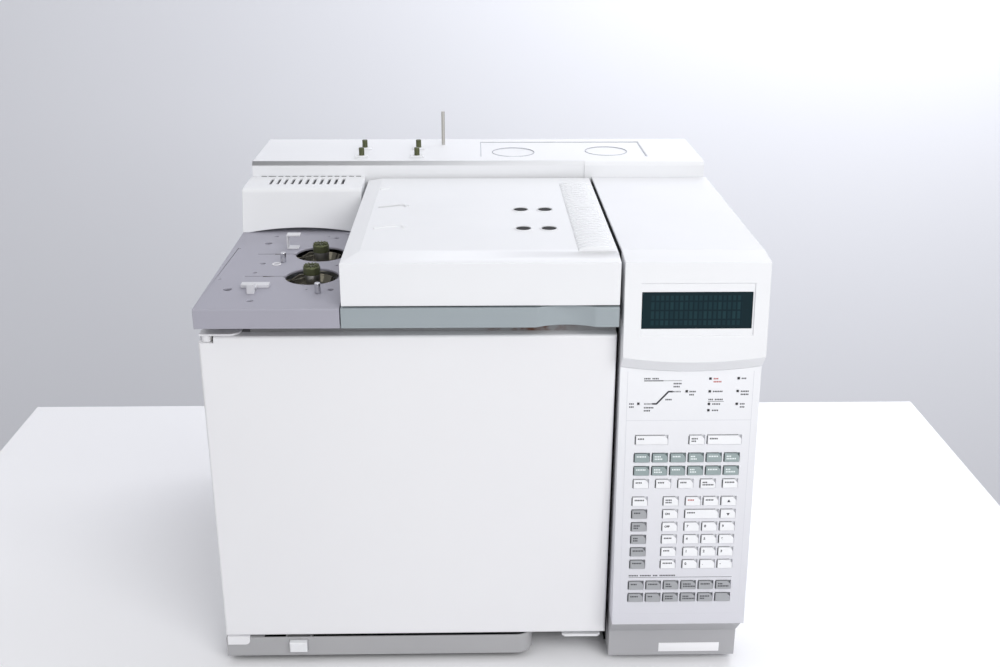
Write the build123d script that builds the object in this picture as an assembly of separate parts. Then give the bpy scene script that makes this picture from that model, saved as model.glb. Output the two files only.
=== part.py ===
from build123d import *
from math import atan2, cos, degrees, hypot, pi, radians, sin
import os

# Bench gas chromatograph: oven bay on the left, electronics column on the right, inlet deck and hinged
# detector lid on top. Millimetres. While it is drawn, x starts at the cabinet's left side, y at the oven
# door's front face (+y to the back) and z at the bench. At export everything moves by one shift, so that
# the origin is the middle of the footprint on the bench.

# Overall sizes
OVEN_BAY_WIDTH = 433.0
COLUMN_GAP = 4.0
COLUMN_WIDTH = 148.0
CABINET_DEPTH = 494.0
DOOR_HEIGHT = 365.3
LID_DEPTH = 350.0
DECK_THICKNESS = 21.5
LID_RISE = 50.5
REAR_COVER_RISE = 20.0

# Walls and clearances
SHEET = 1.5
MOULDED_WALL = 3.0
SEAM = 0.4
RUNNING_CLEARANCE = 0.06
BODY_GAP = 0.3

# Base and kick panel
FEET_HEIGHT = 8.7
FEET_RADIUS = 15.0
FEET_INSET = 38.0
BASE_HEIGHT = 27.3
KICK_TOP = 33.0
KICK_SHEET = 2.0
KICK_JOGGLE_X = 350.0
KICK_JOGGLE_RADIUS = 18.5
FINGER_RECESS_DEPTH = 47.0
KICK_FLANGE_DEPTH = 12.0

# Power button in the kick panel
BUTTON_X = 82.4
BUTTON_Z = 23.0
BUTTON_WIDTH = 19.8
BUTTON_HEIGHT = 12.8
BUTTON_RISE = 6.5
BUTTON_TRAVEL = 4.0
BUTTON_LIP = 1.5
BUTTON_CLEARANCE = 0.4

# Oven body
SHELL_FRONT = 26.5
SHELL_DEPTH = 274.0
SHELL_SHEET = 2.0
INSULATION_SIDE = 72.0
INSULATION_BELOW = 28.0
INSULATION_ABOVE = 41.5
INSULATION_BACK = 47.0
LINER_SHEET = 1.5
CAVITY_DEPTH = 158.0
CAVITY_RIGHT = 356.0

# Oven fan, shroud, heater and motor, all about the cavity's centre
FAN_RADIUS = 78.0
FAN_BLADES = 12
FAN_BLADE_DEPTH = 26.0
FAN_BLADE_START = 35.0
FAN_SHAFT_RADIUS = 5.0
FAN_BACK_GAP = 10.0
SHROUD_SHEET = 1.5
SHROUD_EDGE_GAP = 14.0
SHROUD_EYE_RADIUS = 52.0
SHROUD_POST_WIDTH = 7.0
SHROUD_POST_REACH = 118.0
GUARD_WIRE = 1.6
GUARD_PITCH = 20.0
HEATER_RADIUS = 104.0
HEATER_WIDTH = 6.0
HEATER_SIDES = 12
MOTOR_RADIUS = 46.0
MOTOR_LENGTH = 74.0
MOTOR_PLATE = 4.0
SHAFT_HOLE_CLEARANCE = 1.5

# Air ducts from the fan chamber to the rear, each with a flap
DUCT_X = 118.0
DUCT_WIDTH = 84.0
DUCT_HEIGHT = 62.0
EXHAUST_BELOW_CEILING = 48.5
INTAKE_ABOVE_FLOOR = 46.0
DUCT_COLLAR = 6.0
FLAP_SHEET = 2.0
FLAP_GAP = 1.5
FLAP_PIN_RADIUS = 1.5
FLAP_SETBACK = 12.0

# Door
DOOR_BOTTOM = 35.7
DOOR_THICKNESS = 24.0
DOOR_SKIN_DEPTH = 14.0
DOOR_SKIN = 1.5
DOOR_EDGE_RADIUS = 3.0
DOOR_PAN_RISE = 6.5
DOOR_PLUG_DEPTH = 24.0
DOOR_PLUG_CLEARANCE = 4.0
GASKET_WIDTH = 9.0
HINGE_INSET = 8.0
HINGE_PIN_RADIUS = 3.0
HINGE_PIN_REACH = 12.0
HINGE_PLATE = 2.0
HINGE_PLATE_REACH = 43.0
STRAP_ROUND = 12.0
HINGE_NOTCH = 52.0
KNUCKLE_RADIUS = 5.5
KNUCKLE_NOTCH = 16.0
KNUCKLE_HEIGHT = 7.0
HINGE_LIP = 1.5
HINGE_LIP_ROUND = 5.0
LOWER_HINGE_X = (2.0, 27.0)
LOWER_HINGE_DROP = 8.0

# Door latch, hung below the door over the finger recess
LATCH_X = 406.0
LATCH_WIDTH = 44.0
LATCH_NECK = 34.0
LATCH_PIVOT_Y = 19.0
LATCH_PIVOT_Z = 31.0
LATCH_PIN_RADIUS = 2.0
LATCH_HUB_RADIUS = 4.4
LATCH_PLATE = 3.0
LATCH_FRONT = 3.0
LATCH_HOOK_BACK = 34.0
LATCH_EAR = 2.5
LATCH_CORNER = 3.0

# Top deck: inlet plate on the left, detector deck and trim strip on the right
DECK_OVERHANG = 12.0
INLET_BAY_WIDTH = 148.2
DECK_GAP = 2.0
DECK_ABOVE_DOOR = 13.0
PLATE_WALL = 3.0
INLET_X = 107.5
INLET_FRONT_Y = 94.5
INLET_REAR_Y = 178.0
INLET_WELL_RADIUS = 29.0
INLET_CUSP = 5.0
INLET_GROOVE_START = 34.0
INLET_GROOVE_WIDTH = 3.0
TRIM_DEPTH = 25.0
TRIM_WALL = 2.5
SCOOP_X = 379.0
SCOOP_WIDTH = 62.0
SCOOP_DEPTH = 8.0

# Inlets
INLET_BLOCK = 38.0
INLET_BLOCK_HEIGHT = 6.0
WELD_RADIUS = 9.0
NUT_RADIUS = 9.5
NUT_HEIGHT = 9.5
NUT_TOP = 12.5
NUT_POST_RADIUS = 4.0
NUT_CAP = 3.0
NUT_FLATS = 12
INLET_NUT_DROP = 22.0

# Small posts on the inlet plate: x, y, height above the plate
ROUND_POSTS = ((68.5, 147.0, 11.5), (120.8, 37.4, 11.5))
ROUND_POST_RADIUS = 3.2
WING_POST = (51.0, 38.0, 10.5)
WING_SPAN = 15.0
LAMP_BRACKET = (72.0, 202.0, 17.5)

# Fixing and locating holes through the inlet plate: x, y, radius
PLATE_HOLES = ((39.3, 222.5, 4.2), (44.4, 253.4, 2.4), (118.2, 244.3, 2.6), (108.0, 250.5, 1.3), (130.3, 259.0, 1.6),
               (8.8, 200.8, 1.1), (46.1, 142.2, 3.0), (42.6, 108.4, 2.4), (8.3, 86.5, 1.6), (23.6, 51.8, 4.6),
               (53.8, 14.2, 3.4), (106.9, 50.0, 1.4), (133.0, 49.0, 3.2), (130.8, 134.0, 1.8))

# Hood over the inlet lines
HOOD_FRONT = 284.0
HOOD_LEAN = 15.0
HOOD_RISE = 51.5
HOOD_ROUND = 7.0
HOOD_ARCH = 5.7
HOOD_SLOTS = 11
HOOD_SLOT_WIDTH = 3.6
HOOD_SLOT_PITCH = 9.0
HOOD_SLOT_START = 30.0
HOOD_SLOT_Y = (308.0, 340.0)

# Detector lid
LID_WALL = 3.0
LID_LIFT = 1.5
LID_BEVEL_SIDE = 18.0
LID_BEVEL_FRONT = 34.0
LID_BEVEL_DROP = 3.5
LID_REAR_GAP = 5.0
LID_REAR_ROUND = 4.0
LID_HINGE_BELOW = 6.0
LID_HINGE_INSET = 5.8
LID_KNUCKLE_RADIUS = 3.0
LID_KNUCKLE_LENGTH = 15.0
LID_PIN_RADIUS = 1.5
LID_EAR = 8.0
LID_EAR_DEPTH = 4.0
LID_EAR_GAP = 1.0
LID_HINGE_INBOARD = 25.0
LOUVRE_COUNT = 27
LOUVRE_WIDTH = 40.0
LOUVRE_HUMP = 3.0
LOUVRE_START = 34.0
LOUVRE_END = 304.0
LOUVRE_SLOT = 2.4
LOUVRE_EDGE = 6.0
LID_HOLE_RADIUS = 8.5
LID_RIM_WIDTH = 1.8
LID_RIM_RISE = 0.8

# Raised arms and bosses moulded on the lid's left side: start and end of each arm, centre of each boss
LID_ARMS = ((170.0, 283.0, 183.0, 288.0), (174.6, 196.0, 203.0, 207.0), (175.5, 105.0, 205.6, 118.0))
LID_BOSSES = ((206.0, 203.0), (208.0, 113.5))
LID_ARM_WIDTH = 2.0
LID_ARM_RISE = 1.2
LID_BOSS_RADIUS = 3.0

# Detectors, one pair of lid holes over each
DETECTOR_X = 353.0
DETECTOR_TUBE_X = 344.0
DETECTOR_FRONT_Y = 104.0
DETECTOR_REAR_Y = 184.0
DETECTOR_TOWER_SPREAD = 28.0
DETECTOR_TOWER_RADIUS = 7.0
DETECTOR_TUBE_RADIUS = 7.0
DETECTOR_CLEARANCE = 1.5
DETECTOR_DROP = 14.0
DETECTOR_BLOCK = 20.0
DETECTOR_HEADROOM = 8.0

# Rear cover, its fittings and the vent tube
REAR_STEP_X = 427.5
REAR_STEP = 2.0
REAR_COVER_INSET = 1.8
REAR_FRONT_ROUND = 6.0
REAR_RECESS = (294.0, 513.0, 380.0, 478.0)
REAR_RECESS_DEPTH = 1.6
KNOCKOUT_RADIUS = 28.0
KNOCKOUT_DEPTH = 0.6
KNOCKOUTS = ((337.8, 414.0), (462.4, 420.0))
FITTING_X = (139.5, 211.3)
FITTING_Y = (377.5, 427.5)
FITTING_RADIUS = 3.5
FITTING_RISE = 12.5
FITTING_PLINTH = 17.0
FITTING_PLINTH_HEIGHT = 2.5
MANIFOLD_X, MANIFOLD_Y, MANIFOLD_HEADROOM = (60.0, 280.0), (366.0, 476.0), 24.0
VENT_TUBE = (243.7, 456.5)
VENT_TUBE_RADIUS = 2.3
VENT_TUBE_RISE = 45.0

# Column: foot, keypad panel and display head
COLUMN_FOOT_BOTTOM = 8.0
COLUMN_FOOT_INSET = 3.0
FOOT_FRONT = -6.0
FOOT_KNEE_Z = 42.0
KEYPAD_FRONT = -26.0
KEYPAD_BOTTOM = 64.0
KEYPAD_TOP_FRONT = -5.0
HEAD_HEIGHT = 118.0
HEAD_SAG = 5.5
HEAD_CHAMFER = 15.5
HEAD_FRONT = -20.0
HEAD_TOP_FRONT = -10.0
HEAD_LIP_Z = 14.0
BEZEL_BACK = 24.0

# Display window, measured on the head's face from its left edge and lower lip
WINDOW_U = (18.0, 131.3)
WINDOW_W = (31.5, 70.0)
RECESS_U = (17.0, 133.0)
RECESS_W = (24.5, 79.3)
RECESS_DEPTH = 1.5
WINDOW_GLASS = 2.0
WINDOW_LAP = 3.5
MODULE_DEPTH = 12.0

# Keys, measured on the keypad panel from its left edge (u) and bottom edge (v)
KEY_WIDTH = 15.8
KEY_HEIGHT = 9.8
KEY_CORNER = 3.6
KEY_RISE = 1.3
KEY_CLEARANCE = 0.5
KEY_FLANGE = 0.8
KEY_FLANGE_THICKNESS = 1.0
KEY_TRAVEL = 1.2
KEY_STOP_GAP = 0.3
ROW_PITCH = 15.13
WIDE_KEY = 35.8
METHOD_U, METHOD_V, METHOD_PITCH = 25.2, 33.8, 19.38
BLOCK_V = 74.8
SIDE_U = 25.9
MODE_U = 59.5
DIGIT_U, DIGIT_PITCH = 83.6, 19.37
ENTER_U = 93.7
OVEN_KEY_U, OVEN_KEY_V, OVEN_KEY_PITCH = 26.3, 171.1, 24.1
CHANNEL_U, CHANNEL_V, CHANNEL_PITCH = 26.3, 186.2, 19.3
TOP_ROW_V = 221.8
STOP_U, STOP_WIDTH = 36.0, 34.0
PREP_U = 84.2
START_U = 113.6

# Status lamps: u, and distance down from the keypad panel's top edge
LAMPS = ((20.2, 41.9), (70.7, 28.3), (95.0, 14.3), (124.7, 14.1), (95.0, 28.5),
         (124.5, 28.3), (124.4, 42.6), (94.9, 42.6), (94.7, 49.7))
LAMP_WIDTH = 2.0
LAMP_RISE = 0.3
LAMP_CLEARANCE = 0.3
BOARD_THICKNESS = 1.6
BOARD_TOP_GAP = 10.5
BOARD_BOTTOM_GAP = 10.0
BOARD_BOSS = 6.0

# Electronics and pneumatics
SOCKET_IN_COLUMN, SOCKET_Z = 83.0, 62.0
SOCKET_WIDTH, SOCKET_HEIGHT, SOCKET_DEPTH = 27.0, 20.0, 16.0
SOCKET_WALL = 4.0

# Cooling slots of the column, in its side and its back
SIDE_SLOTS, SIDE_SLOT_BOTTOM, SIDE_SLOT_PITCH, SIDE_SLOT_WIDTH = 9, 70.0, 12.0, 4.0
SIDE_SLOT_Y = (120.0, 260.0)
REAR_SLOTS, REAR_SLOT_BOTTOM, REAR_SLOT_PITCH, REAR_SLOT_WIDTH = 10, 200.0, 14.0, 5.0
REAR_SLOT_IN_COLUMN, REAR_SLOT_LENGTH = 33.0, 90.0

# Transformer
CORE_WIDTH, CORE_HEIGHT, CORE_STACK, CORE_YOKE = 96.0, 80.0, 76.0, 17.0
CORE_Y = 400.0
COIL_WIDTH, COIL_LENGTH, COIL_CHAMFER = 62.0, 100.0, 8.0

# Heights and positions that follow
DOOR_TOP = DOOR_BOTTOM + DOOR_HEIGHT
DECK_BOTTOM = DOOR_TOP + DECK_ABOVE_DOOR
DECK_TOP = DECK_BOTTOM + DECK_THICKNESS
LID_BOTTOM = DECK_TOP + LID_LIFT
LID_TOP = DECK_TOP + LID_RISE
HOOD_TOP = DECK_TOP + HOOD_RISE
REAR_COVER_TOP = LID_TOP + REAR_COVER_RISE
PAN_TOP = FEET_HEIGHT + BASE_HEIGHT
SHELL_BACK = SHELL_FRONT + SHELL_DEPTH
COLUMN_LEFT = OVEN_BAY_WIDTH + COLUMN_GAP
CABINET_WIDTH = COLUMN_LEFT + COLUMN_WIDTH
SOCKET_X = COLUMN_LEFT + SOCKET_IN_COLUMN
REAR_SLOT_X = (COLUMN_LEFT + REAR_SLOT_IN_COLUMN, COLUMN_LEFT + REAR_SLOT_IN_COLUMN + REAR_SLOT_LENGTH)
LID_LEFT = INLET_BAY_WIDTH + DECK_GAP
LID_BACK = LID_DEPTH - LID_REAR_GAP
LID_HINGE_Y = LID_BACK - LID_HINGE_INSET
LID_HINGE_Z = LID_TOP - LID_HINGE_BELOW
HEAD_BOTTOM = LID_TOP - HEAD_HEIGHT
REAR_PANEL_FRONT = CABINET_DEPTH - SHEET
CAVITY_X = (SHELL_SHEET + INSULATION_SIDE, CAVITY_RIGHT)
CAVITY_Z = (PAN_TOP + SHELL_SHEET + INSULATION_BELOW, DECK_BOTTOM - SHELL_SHEET - INSULATION_ABOVE)
CAVITY_BACK = SHELL_BACK - SHELL_SHEET - INSULATION_BACK
FAN_X = (CAVITY_X[0] + CAVITY_X[1]) / 2
FAN_Z = (CAVITY_Z[0] + CAVITY_Z[1]) / 2
EXHAUST_Z = CAVITY_Z[1] - EXHAUST_BELOW_CEILING
INTAKE_Z = CAVITY_Z[0] + INTAKE_ABOVE_FLOOR
SHROUD_Y = SHELL_FRONT + SHELL_SHEET + CAVITY_DEPTH
SHAFT_HOLE = 2 * (FAN_SHAFT_RADIUS + SHAFT_HOLE_CLEARANCE)
KEYPAD_TILT = degrees(atan2(KEYPAD_TOP_FRONT - KEYPAD_FRONT, HEAD_BOTTOM - KEYPAD_BOTTOM))
KEYPAD_LENGTH = (HEAD_BOTTOM - KEYPAD_BOTTOM) / cos(radians(KEYPAD_TILT))
HEAD_LIP = HEAD_BOTTOM + HEAD_LIP_Z
HEAD_FACE_TOP = LID_TOP - LID_BEVEL_DROP
HEAD_TILT = degrees(atan2(HEAD_TOP_FRONT - HEAD_FRONT, HEAD_FACE_TOP - HEAD_LIP))
BOARD_DEPTH = MOULDED_WALL + KEY_FLANGE_THICKNESS + KEY_TRAVEL + KEY_STOP_GAP


def block(x, y, z):
    """Box between three (low, high) spans."""
    spans = (x, y, z)
    sizes = [high - low for low, high in spans]
    middles = [(high + low) / 2 for low, high in spans]
    return Pos(*middles) * Box(*sizes)


def rounded_block(x, y, z, radius):
    """Block with its upper front edge rounded."""
    box = block(x, y, z)
    edge = box.edges().filter_by(Axis.X).group_by(Axis.Z)[-1].sort_by(Axis.Y)[0]
    return fillet(edge, radius)


def rod_x(x, y, z, radius):
    """Cylinder along X over the span x."""
    return Pos((x[0] + x[1]) / 2, y, z) * Rot(0, 90, 0) * Cylinder(radius, x[1] - x[0])


def rod_y(x, y, z, radius):
    """Cylinder along Y over the span y."""
    return Pos(x, (y[0] + y[1]) / 2, z) * Rot(90, 0, 0) * Cylinder(radius, y[1] - y[0])


def rod_z(x, y, z, radius):
    """Upright cylinder over the span z."""
    return Pos(x, y, (z[0] + z[1]) / 2) * Cylinder(radius, z[1] - z[0])


def post_y(x, y, z, width):
    """Square post along Y over the span y."""
    return block(about(x, width), y, about(z, width))


def post_z(x, y, z, width):
    """Square upright over the span z."""
    return block(about(x, width), about(y, width), z)


def along_x(outline, x):
    """A (y, z) outline extruded over the span x."""
    face = make_face(Polyline(*outline, close=True))
    return extrude(Plane.YZ.offset(x[0]) * face, x[1] - x[0])


def along_y(outline, y):
    """An (x, z) outline extruded over the span y."""
    face = make_face(Polyline(*outline, close=True))
    return extrude(Plane.XZ.offset(-y[1]) * face, y[1] - y[0])


def grown(span, amount):
    """A span widened at both ends."""
    return (span[0] - amount, span[1] + amount)


def about(middle, width):
    """The span of a width about its middle."""
    return (middle - width / 2, middle + width / 2)


def tilted_face(x, y, z, tilt):
    """Plane of a front face that leans back by tilt: u to the right, v up the face, normal outwards."""
    lean = radians(tilt)
    return Plane(origin=(x, y, z), x_dir=(1, 0, 0), z_dir=(0, -cos(lean), sin(lean)))


KEYPAD_FACE = tilted_face(COLUMN_LEFT, KEYPAD_FRONT, KEYPAD_BOTTOM, KEYPAD_TILT)
HEAD_FACE = tilted_face(COLUMN_LEFT, HEAD_FRONT, HEAD_LIP, HEAD_TILT)


# ---------------------------------------------------------------- base

def behind_kick_line(inset, back):
    """Plan face behind the kick panel's front line, inset by a thickness, as far back as `back`."""
    left = inset
    right = OVEN_BAY_WIDTH + COLUMN_GAP / 2
    joggle = KICK_JOGGLE_X - inset
    deep = FINGER_RECESS_DEPTH + inset
    front = FilletPolyline((left, inset), (joggle, inset), (joggle, deep), (right, deep),
                           radius=[KICK_JOGGLE_RADIUS - inset, KICK_JOGGLE_RADIUS + inset])
    rest = Polyline((right, deep), (right, back), (left, back), (left, inset))
    return make_face([front, rest])


def front_kick_panel():
    """Folded plinth front with a finger recess under the door's right end and the power switch cage."""
    back = FINGER_RECESS_DEPTH + 2 * KICK_SHEET
    height = KICK_TOP - FEET_HEIGHT
    outer = extrude(Plane.XY.offset(FEET_HEIGHT) * behind_kick_line(0, back), height)
    inner = extrude(Plane.XY.offset(FEET_HEIGHT) * behind_kick_line(KICK_SHEET, back + 1), height)
    wall = outer - inner
    wall -= block((-1, 2 * KICK_SHEET), (SHELL_FRONT, back + 1), (0, KICK_TOP + 1))
    flange = block((0, HINGE_PLATE_REACH), (KICK_SHEET, KICK_FLANGE_DEPTH), (KICK_TOP - KICK_SHEET, KICK_TOP))
    hole = block(about(BUTTON_X, BUTTON_WIDTH + 2 * BUTTON_CLEARANCE), (-1, KICK_SHEET + 1),
                 about(BUTTON_Z, BUTTON_HEIGHT + 2 * BUTTON_CLEARANCE))
    cage_x = about(BUTTON_X, BUTTON_WIDTH + 4 * BUTTON_LIP + 2 * KICK_SHEET)
    cage_z = (FEET_HEIGHT + KICK_SHEET, KICK_TOP)
    cage_back = KICK_SHEET + 2 * BUTTON_LIP + BUTTON_TRAVEL + 3
    cage = block(cage_x, (KICK_SHEET, cage_back + KICK_SHEET), cage_z)
    cage -= block(grown(cage_x, -KICK_SHEET), (KICK_SHEET - 1, cage_back), grown(cage_z, 1))
    return wall + flange + cage - hole


def power_button():
    """Push button with bevelled edges and a retaining lip behind the kick panel."""
    cap = block(about(BUTTON_X, BUTTON_WIDTH), (-BUTTON_RISE, KICK_SHEET + BUTTON_LIP),
                about(BUTTON_Z, BUTTON_HEIGHT))
    cap = chamfer(cap.faces().sort_by(Axis.Y)[0].edges(), 1.2)
    lip = block(about(BUTTON_X, BUTTON_WIDTH + 2 * BUTTON_LIP), (KICK_SHEET, KICK_SHEET + BUTTON_LIP),
                about(BUTTON_Z, BUTTON_HEIGHT + BUTTON_LIP))
    return cap + lip


def base_pan():
    """Folded floor tray with the upright wall between oven bay and electronics."""
    floor = extrude(Plane.XY.offset(FEET_HEIGHT) * behind_kick_line(KICK_SHEET, REAR_PANEL_FRONT), SHEET)
    floor += block((OVEN_BAY_WIDTH + COLUMN_GAP / 2, CABINET_WIDTH - SHEET), (BEZEL_BACK, REAR_PANEL_FRONT),
                   (FEET_HEIGHT, FEET_HEIGHT + SHEET))
    up = (FEET_HEIGHT, PAN_TOP)
    left_wall = block((KICK_SHEET, 2 * KICK_SHEET), (SHELL_FRONT, REAR_PANEL_FRONT), up)
    rails = [block(about(x, 20), (FINGER_RECESS_DEPTH + KICK_SHEET, SHELL_BACK), up)
             for x in (CAVITY_X[0], CAVITY_X[1])]
    divider = block((COLUMN_LEFT, COLUMN_LEFT + SHEET), (BEZEL_BACK, LID_DEPTH - REAR_STEP),
                    (FEET_HEIGHT, LID_TOP - MOULDED_WALL))
    low_divider = block((COLUMN_LEFT, COLUMN_LEFT + SHEET), (LID_DEPTH - REAR_STEP, REAR_PANEL_FRONT),
                        (FEET_HEIGHT, DECK_BOTTOM))
    return floor + left_wall + rails + divider + low_divider


def rubber_feet():
    """Four round feet."""
    xs = (FEET_INSET, CABINET_WIDTH - FEET_INSET)
    ys = (FINGER_RECESS_DEPTH + FEET_INSET, CABINET_DEPTH - FEET_INSET)
    return [rod_z(x, y, (0, FEET_HEIGHT), FEET_RADIUS) for x in xs for y in ys]


# ---------------------------------------------------------------- oven

def cavity_block(grow, y):
    """Block of the oven cavity's cross-section, grown all round."""
    return block(grown(CAVITY_X, grow), y, grown(CAVITY_Z, grow))


def duct_block(z, grow, y):
    """Block of an air duct's cross-section, grown all round."""
    return block(about(DUCT_X, DUCT_WIDTH + 2 * grow), y, about(z, DUCT_HEIGHT + 2 * grow))


def top_passages(z, clearance):
    """Square cut-outs for the inlets and detectors that reach down into the oven."""
    inlets = [post_z(INLET_X, y, z, 2 * (WELD_RADIUS + clearance)) for y in (INLET_FRONT_Y, INLET_REAR_Y)]
    detectors = [post_z(DETECTOR_TUBE_X, y, z, 2 * (DETECTOR_TUBE_RADIUS + clearance))
                 for y in (DETECTOR_FRONT_Y, DETECTOR_REAR_Y)]
    return inlets + detectors


def oven_shell():
    """Sheet-metal oven case with its front opening, duct openings and shaft hole."""
    x = (SHEET, OVEN_BAY_WIDTH)
    y = (SHELL_FRONT, SHELL_BACK)
    z = (PAN_TOP, DECK_BOTTOM)
    shell = block(x, y, z) - block(grown(x, -SHELL_SHEET), grown(y, -SHELL_SHEET), grown(z, -SHELL_SHEET))
    shell -= cavity_block(0, (SHELL_FRONT - 1, SHELL_FRONT + SHELL_SHEET + 1))
    for duct_z in (EXHAUST_Z, INTAKE_Z):
        shell -= duct_block(duct_z, 0, (SHELL_BACK - SHELL_SHEET - 1, SHELL_BACK + 1))
    shell -= post_y(FAN_X, (SHELL_BACK - 9, SHELL_BACK + 1), FAN_Z, SHAFT_HOLE)
    for hole in top_passages((DECK_BOTTOM - 9, DECK_BOTTOM + 1), DETECTOR_CLEARANCE):
        shell -= hole
    return shell


def oven_insulation():
    """Mineral-wool jacket between case and liner."""
    x = grown((SHEET, OVEN_BAY_WIDTH), -SHELL_SHEET)
    y = grown((SHELL_FRONT, SHELL_BACK), -SHELL_SHEET)
    z = grown((PAN_TOP, DECK_BOTTOM), -SHELL_SHEET)
    wool = block(x, y, z) - cavity_block(LINER_SHEET, (y[0] - 1, CAVITY_BACK + LINER_SHEET))
    for duct_z in (EXHAUST_Z, INTAKE_Z):
        wool -= duct_block(duct_z, 0, (CAVITY_BACK, y[1] + 1))
    wool -= post_y(FAN_X, (CAVITY_BACK, y[1] + 1), FAN_Z, SHAFT_HOLE)
    for hole in top_passages((CAVITY_Z[1], z[1] + 1), DETECTOR_CLEARANCE):
        wool -= hole
    return wool


def oven_liner():
    """Stainless oven cavity, open at the front."""
    front = SHELL_FRONT + SHELL_SHEET
    liner = cavity_block(LINER_SHEET, (front, CAVITY_BACK + LINER_SHEET))
    liner -= cavity_block(0, (front - 1, CAVITY_BACK))
    back = (CAVITY_BACK - 1, CAVITY_BACK + LINER_SHEET + 1)
    for duct_z in (EXHAUST_Z, INTAKE_Z):
        liner -= duct_block(duct_z, 0, back)
    liner -= post_y(FAN_X, back, FAN_Z, SHAFT_HOLE)
    for hole in top_passages((CAVITY_Z[1] - 1, CAVITY_Z[1] + LINER_SHEET + 1), DETECTOR_CLEARANCE):
        liner -= hole
    return liner


def shroud_post_places(reach):
    """Four corner places about the fan's axis."""
    return [(FAN_X + sx * reach, FAN_Z + sz * reach) for sx in (-1, 1) for sz in (-1, 1)]


def fan_shroud():
    """Plate in front of the fan: air goes in at its eye and comes out round its edges."""
    y = (SHROUD_Y, SHROUD_Y + SHROUD_SHEET)
    plate = cavity_block(-SHROUD_EDGE_GAP, y)
    plate -= rod_y(FAN_X, grown(y, 1), FAN_Z, SHROUD_EYE_RADIUS)
    wire_x = about(FAN_X, 2 * SHROUD_EYE_RADIUS + 2)
    wires = [block(wire_x, y, about(FAN_Z + k * GUARD_PITCH, GUARD_WIRE)) for k in (-2, -1, 0, 1, 2)]
    posts = [post_y(x, (y[1], CAVITY_BACK), z, SHROUD_POST_WIDTH)
             for x, z in shroud_post_places(SHROUD_POST_REACH)]
    return plate + wires + posts


def oven_heater():
    """Many-sided heater ring on four ceramic posts round the fan."""
    y = (SHROUD_Y + CAVITY_BACK) / 2
    outline = RegularPolygon(HEATER_RADIUS + HEATER_WIDTH, HEATER_SIDES)
    outline -= RegularPolygon(HEATER_RADIUS, HEATER_SIDES)
    ring = Pos(FAN_X, y, FAN_Z) * Rot(90, 0, 0) * extrude(outline, HEATER_WIDTH / 2, both=True)
    reach = (HEATER_RADIUS + HEATER_WIDTH / 2) * cos(pi / 4)
    posts = [post_y(x, (y, CAVITY_BACK), z, HEATER_WIDTH) for x, z in shroud_post_places(reach)]
    return ring + posts


def fan_motor():
    """Motor behind the oven, on a square mounting plate."""
    plate = post_y(FAN_X, (SHELL_BACK, SHELL_BACK + MOTOR_PLATE), FAN_Z, 2 * MOTOR_RADIUS + 20)
    can = rod_y(FAN_X, (SHELL_BACK, SHELL_BACK + MOTOR_LENGTH), FAN_Z, MOTOR_RADIUS)
    bore = rod_y(FAN_X, (SHELL_BACK - 1, SHELL_BACK + MOTOR_LENGTH / 2), FAN_Z,
                 FAN_SHAFT_RADIUS + RUNNING_CLEARANCE)
    return plate + can - bore


def oven_fan():
    """Radial fan wheel with a back disc, flat blades and its shaft."""
    back = CAVITY_BACK - FAN_BACK_GAP
    disc = rod_y(FAN_X, (back - SHEET, back), FAN_Z, FAN_RADIUS)
    shaft_y = (back - FAN_BLADE_DEPTH / 2, SHELL_BACK + MOTOR_LENGTH / 2)
    shaft = rod_y(FAN_X, shaft_y, FAN_Z, FAN_SHAFT_RADIUS)
    wheel = disc + shaft
    for index in range(FAN_BLADES):
        blade = block((FAN_BLADE_START, FAN_RADIUS - 1), (back - FAN_BLADE_DEPTH, back - SHEET / 2),
                      about(0, SHEET))
        wheel += Pos(FAN_X, 0, FAN_Z) * Rot(0, 360 * index / FAN_BLADES, 0) * blade
    return wheel


# ---------------------------------------------------------------- cabinet sides and back

def left_side_cover():
    """Flat sheet over the oven's left side."""
    return block((0, SHEET), (SHELL_FRONT, CABINET_DEPTH), (FEET_HEIGHT, DECK_BOTTOM))


def electronics_cover():
    """Top and right side of the electronics column, with cooling slots low on the side."""
    step_y = LID_DEPTH - REAR_STEP
    side = along_x([(BEZEL_BACK, FEET_HEIGHT), (CABINET_DEPTH, FEET_HEIGHT), (CABINET_DEPTH, DECK_BOTTOM),
                    (step_y, DECK_BOTTOM), (step_y, LID_TOP), (BEZEL_BACK, LID_TOP)],
                   (CABINET_WIDTH - SHEET, CABINET_WIDTH))
    top = block((COLUMN_LEFT, CABINET_WIDTH), (BEZEL_BACK, step_y), (LID_TOP - MOULDED_WALL, LID_TOP))
    cover = side + top
    corner = cover.edges().filter_by(Axis.Y).sort_by(Axis.Z)[-2:].sort_by(Axis.X)[-1]
    cover = fillet(corner, SHEET)
    for row in range(SIDE_SLOTS):
        z = SIDE_SLOT_BOTTOM + row * SIDE_SLOT_PITCH
        cover -= block((CABINET_WIDTH - 2 * SHEET, CABINET_WIDTH + 1), SIDE_SLOT_Y, (z, z + SIDE_SLOT_WIDTH))
    return cover


def flap_line(z):
    """Height of a flap's hinge line in its duct."""
    return z + DUCT_HEIGHT / 2 - 2 * FLAP_PIN_RADIUS - FLAP_GAP


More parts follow.
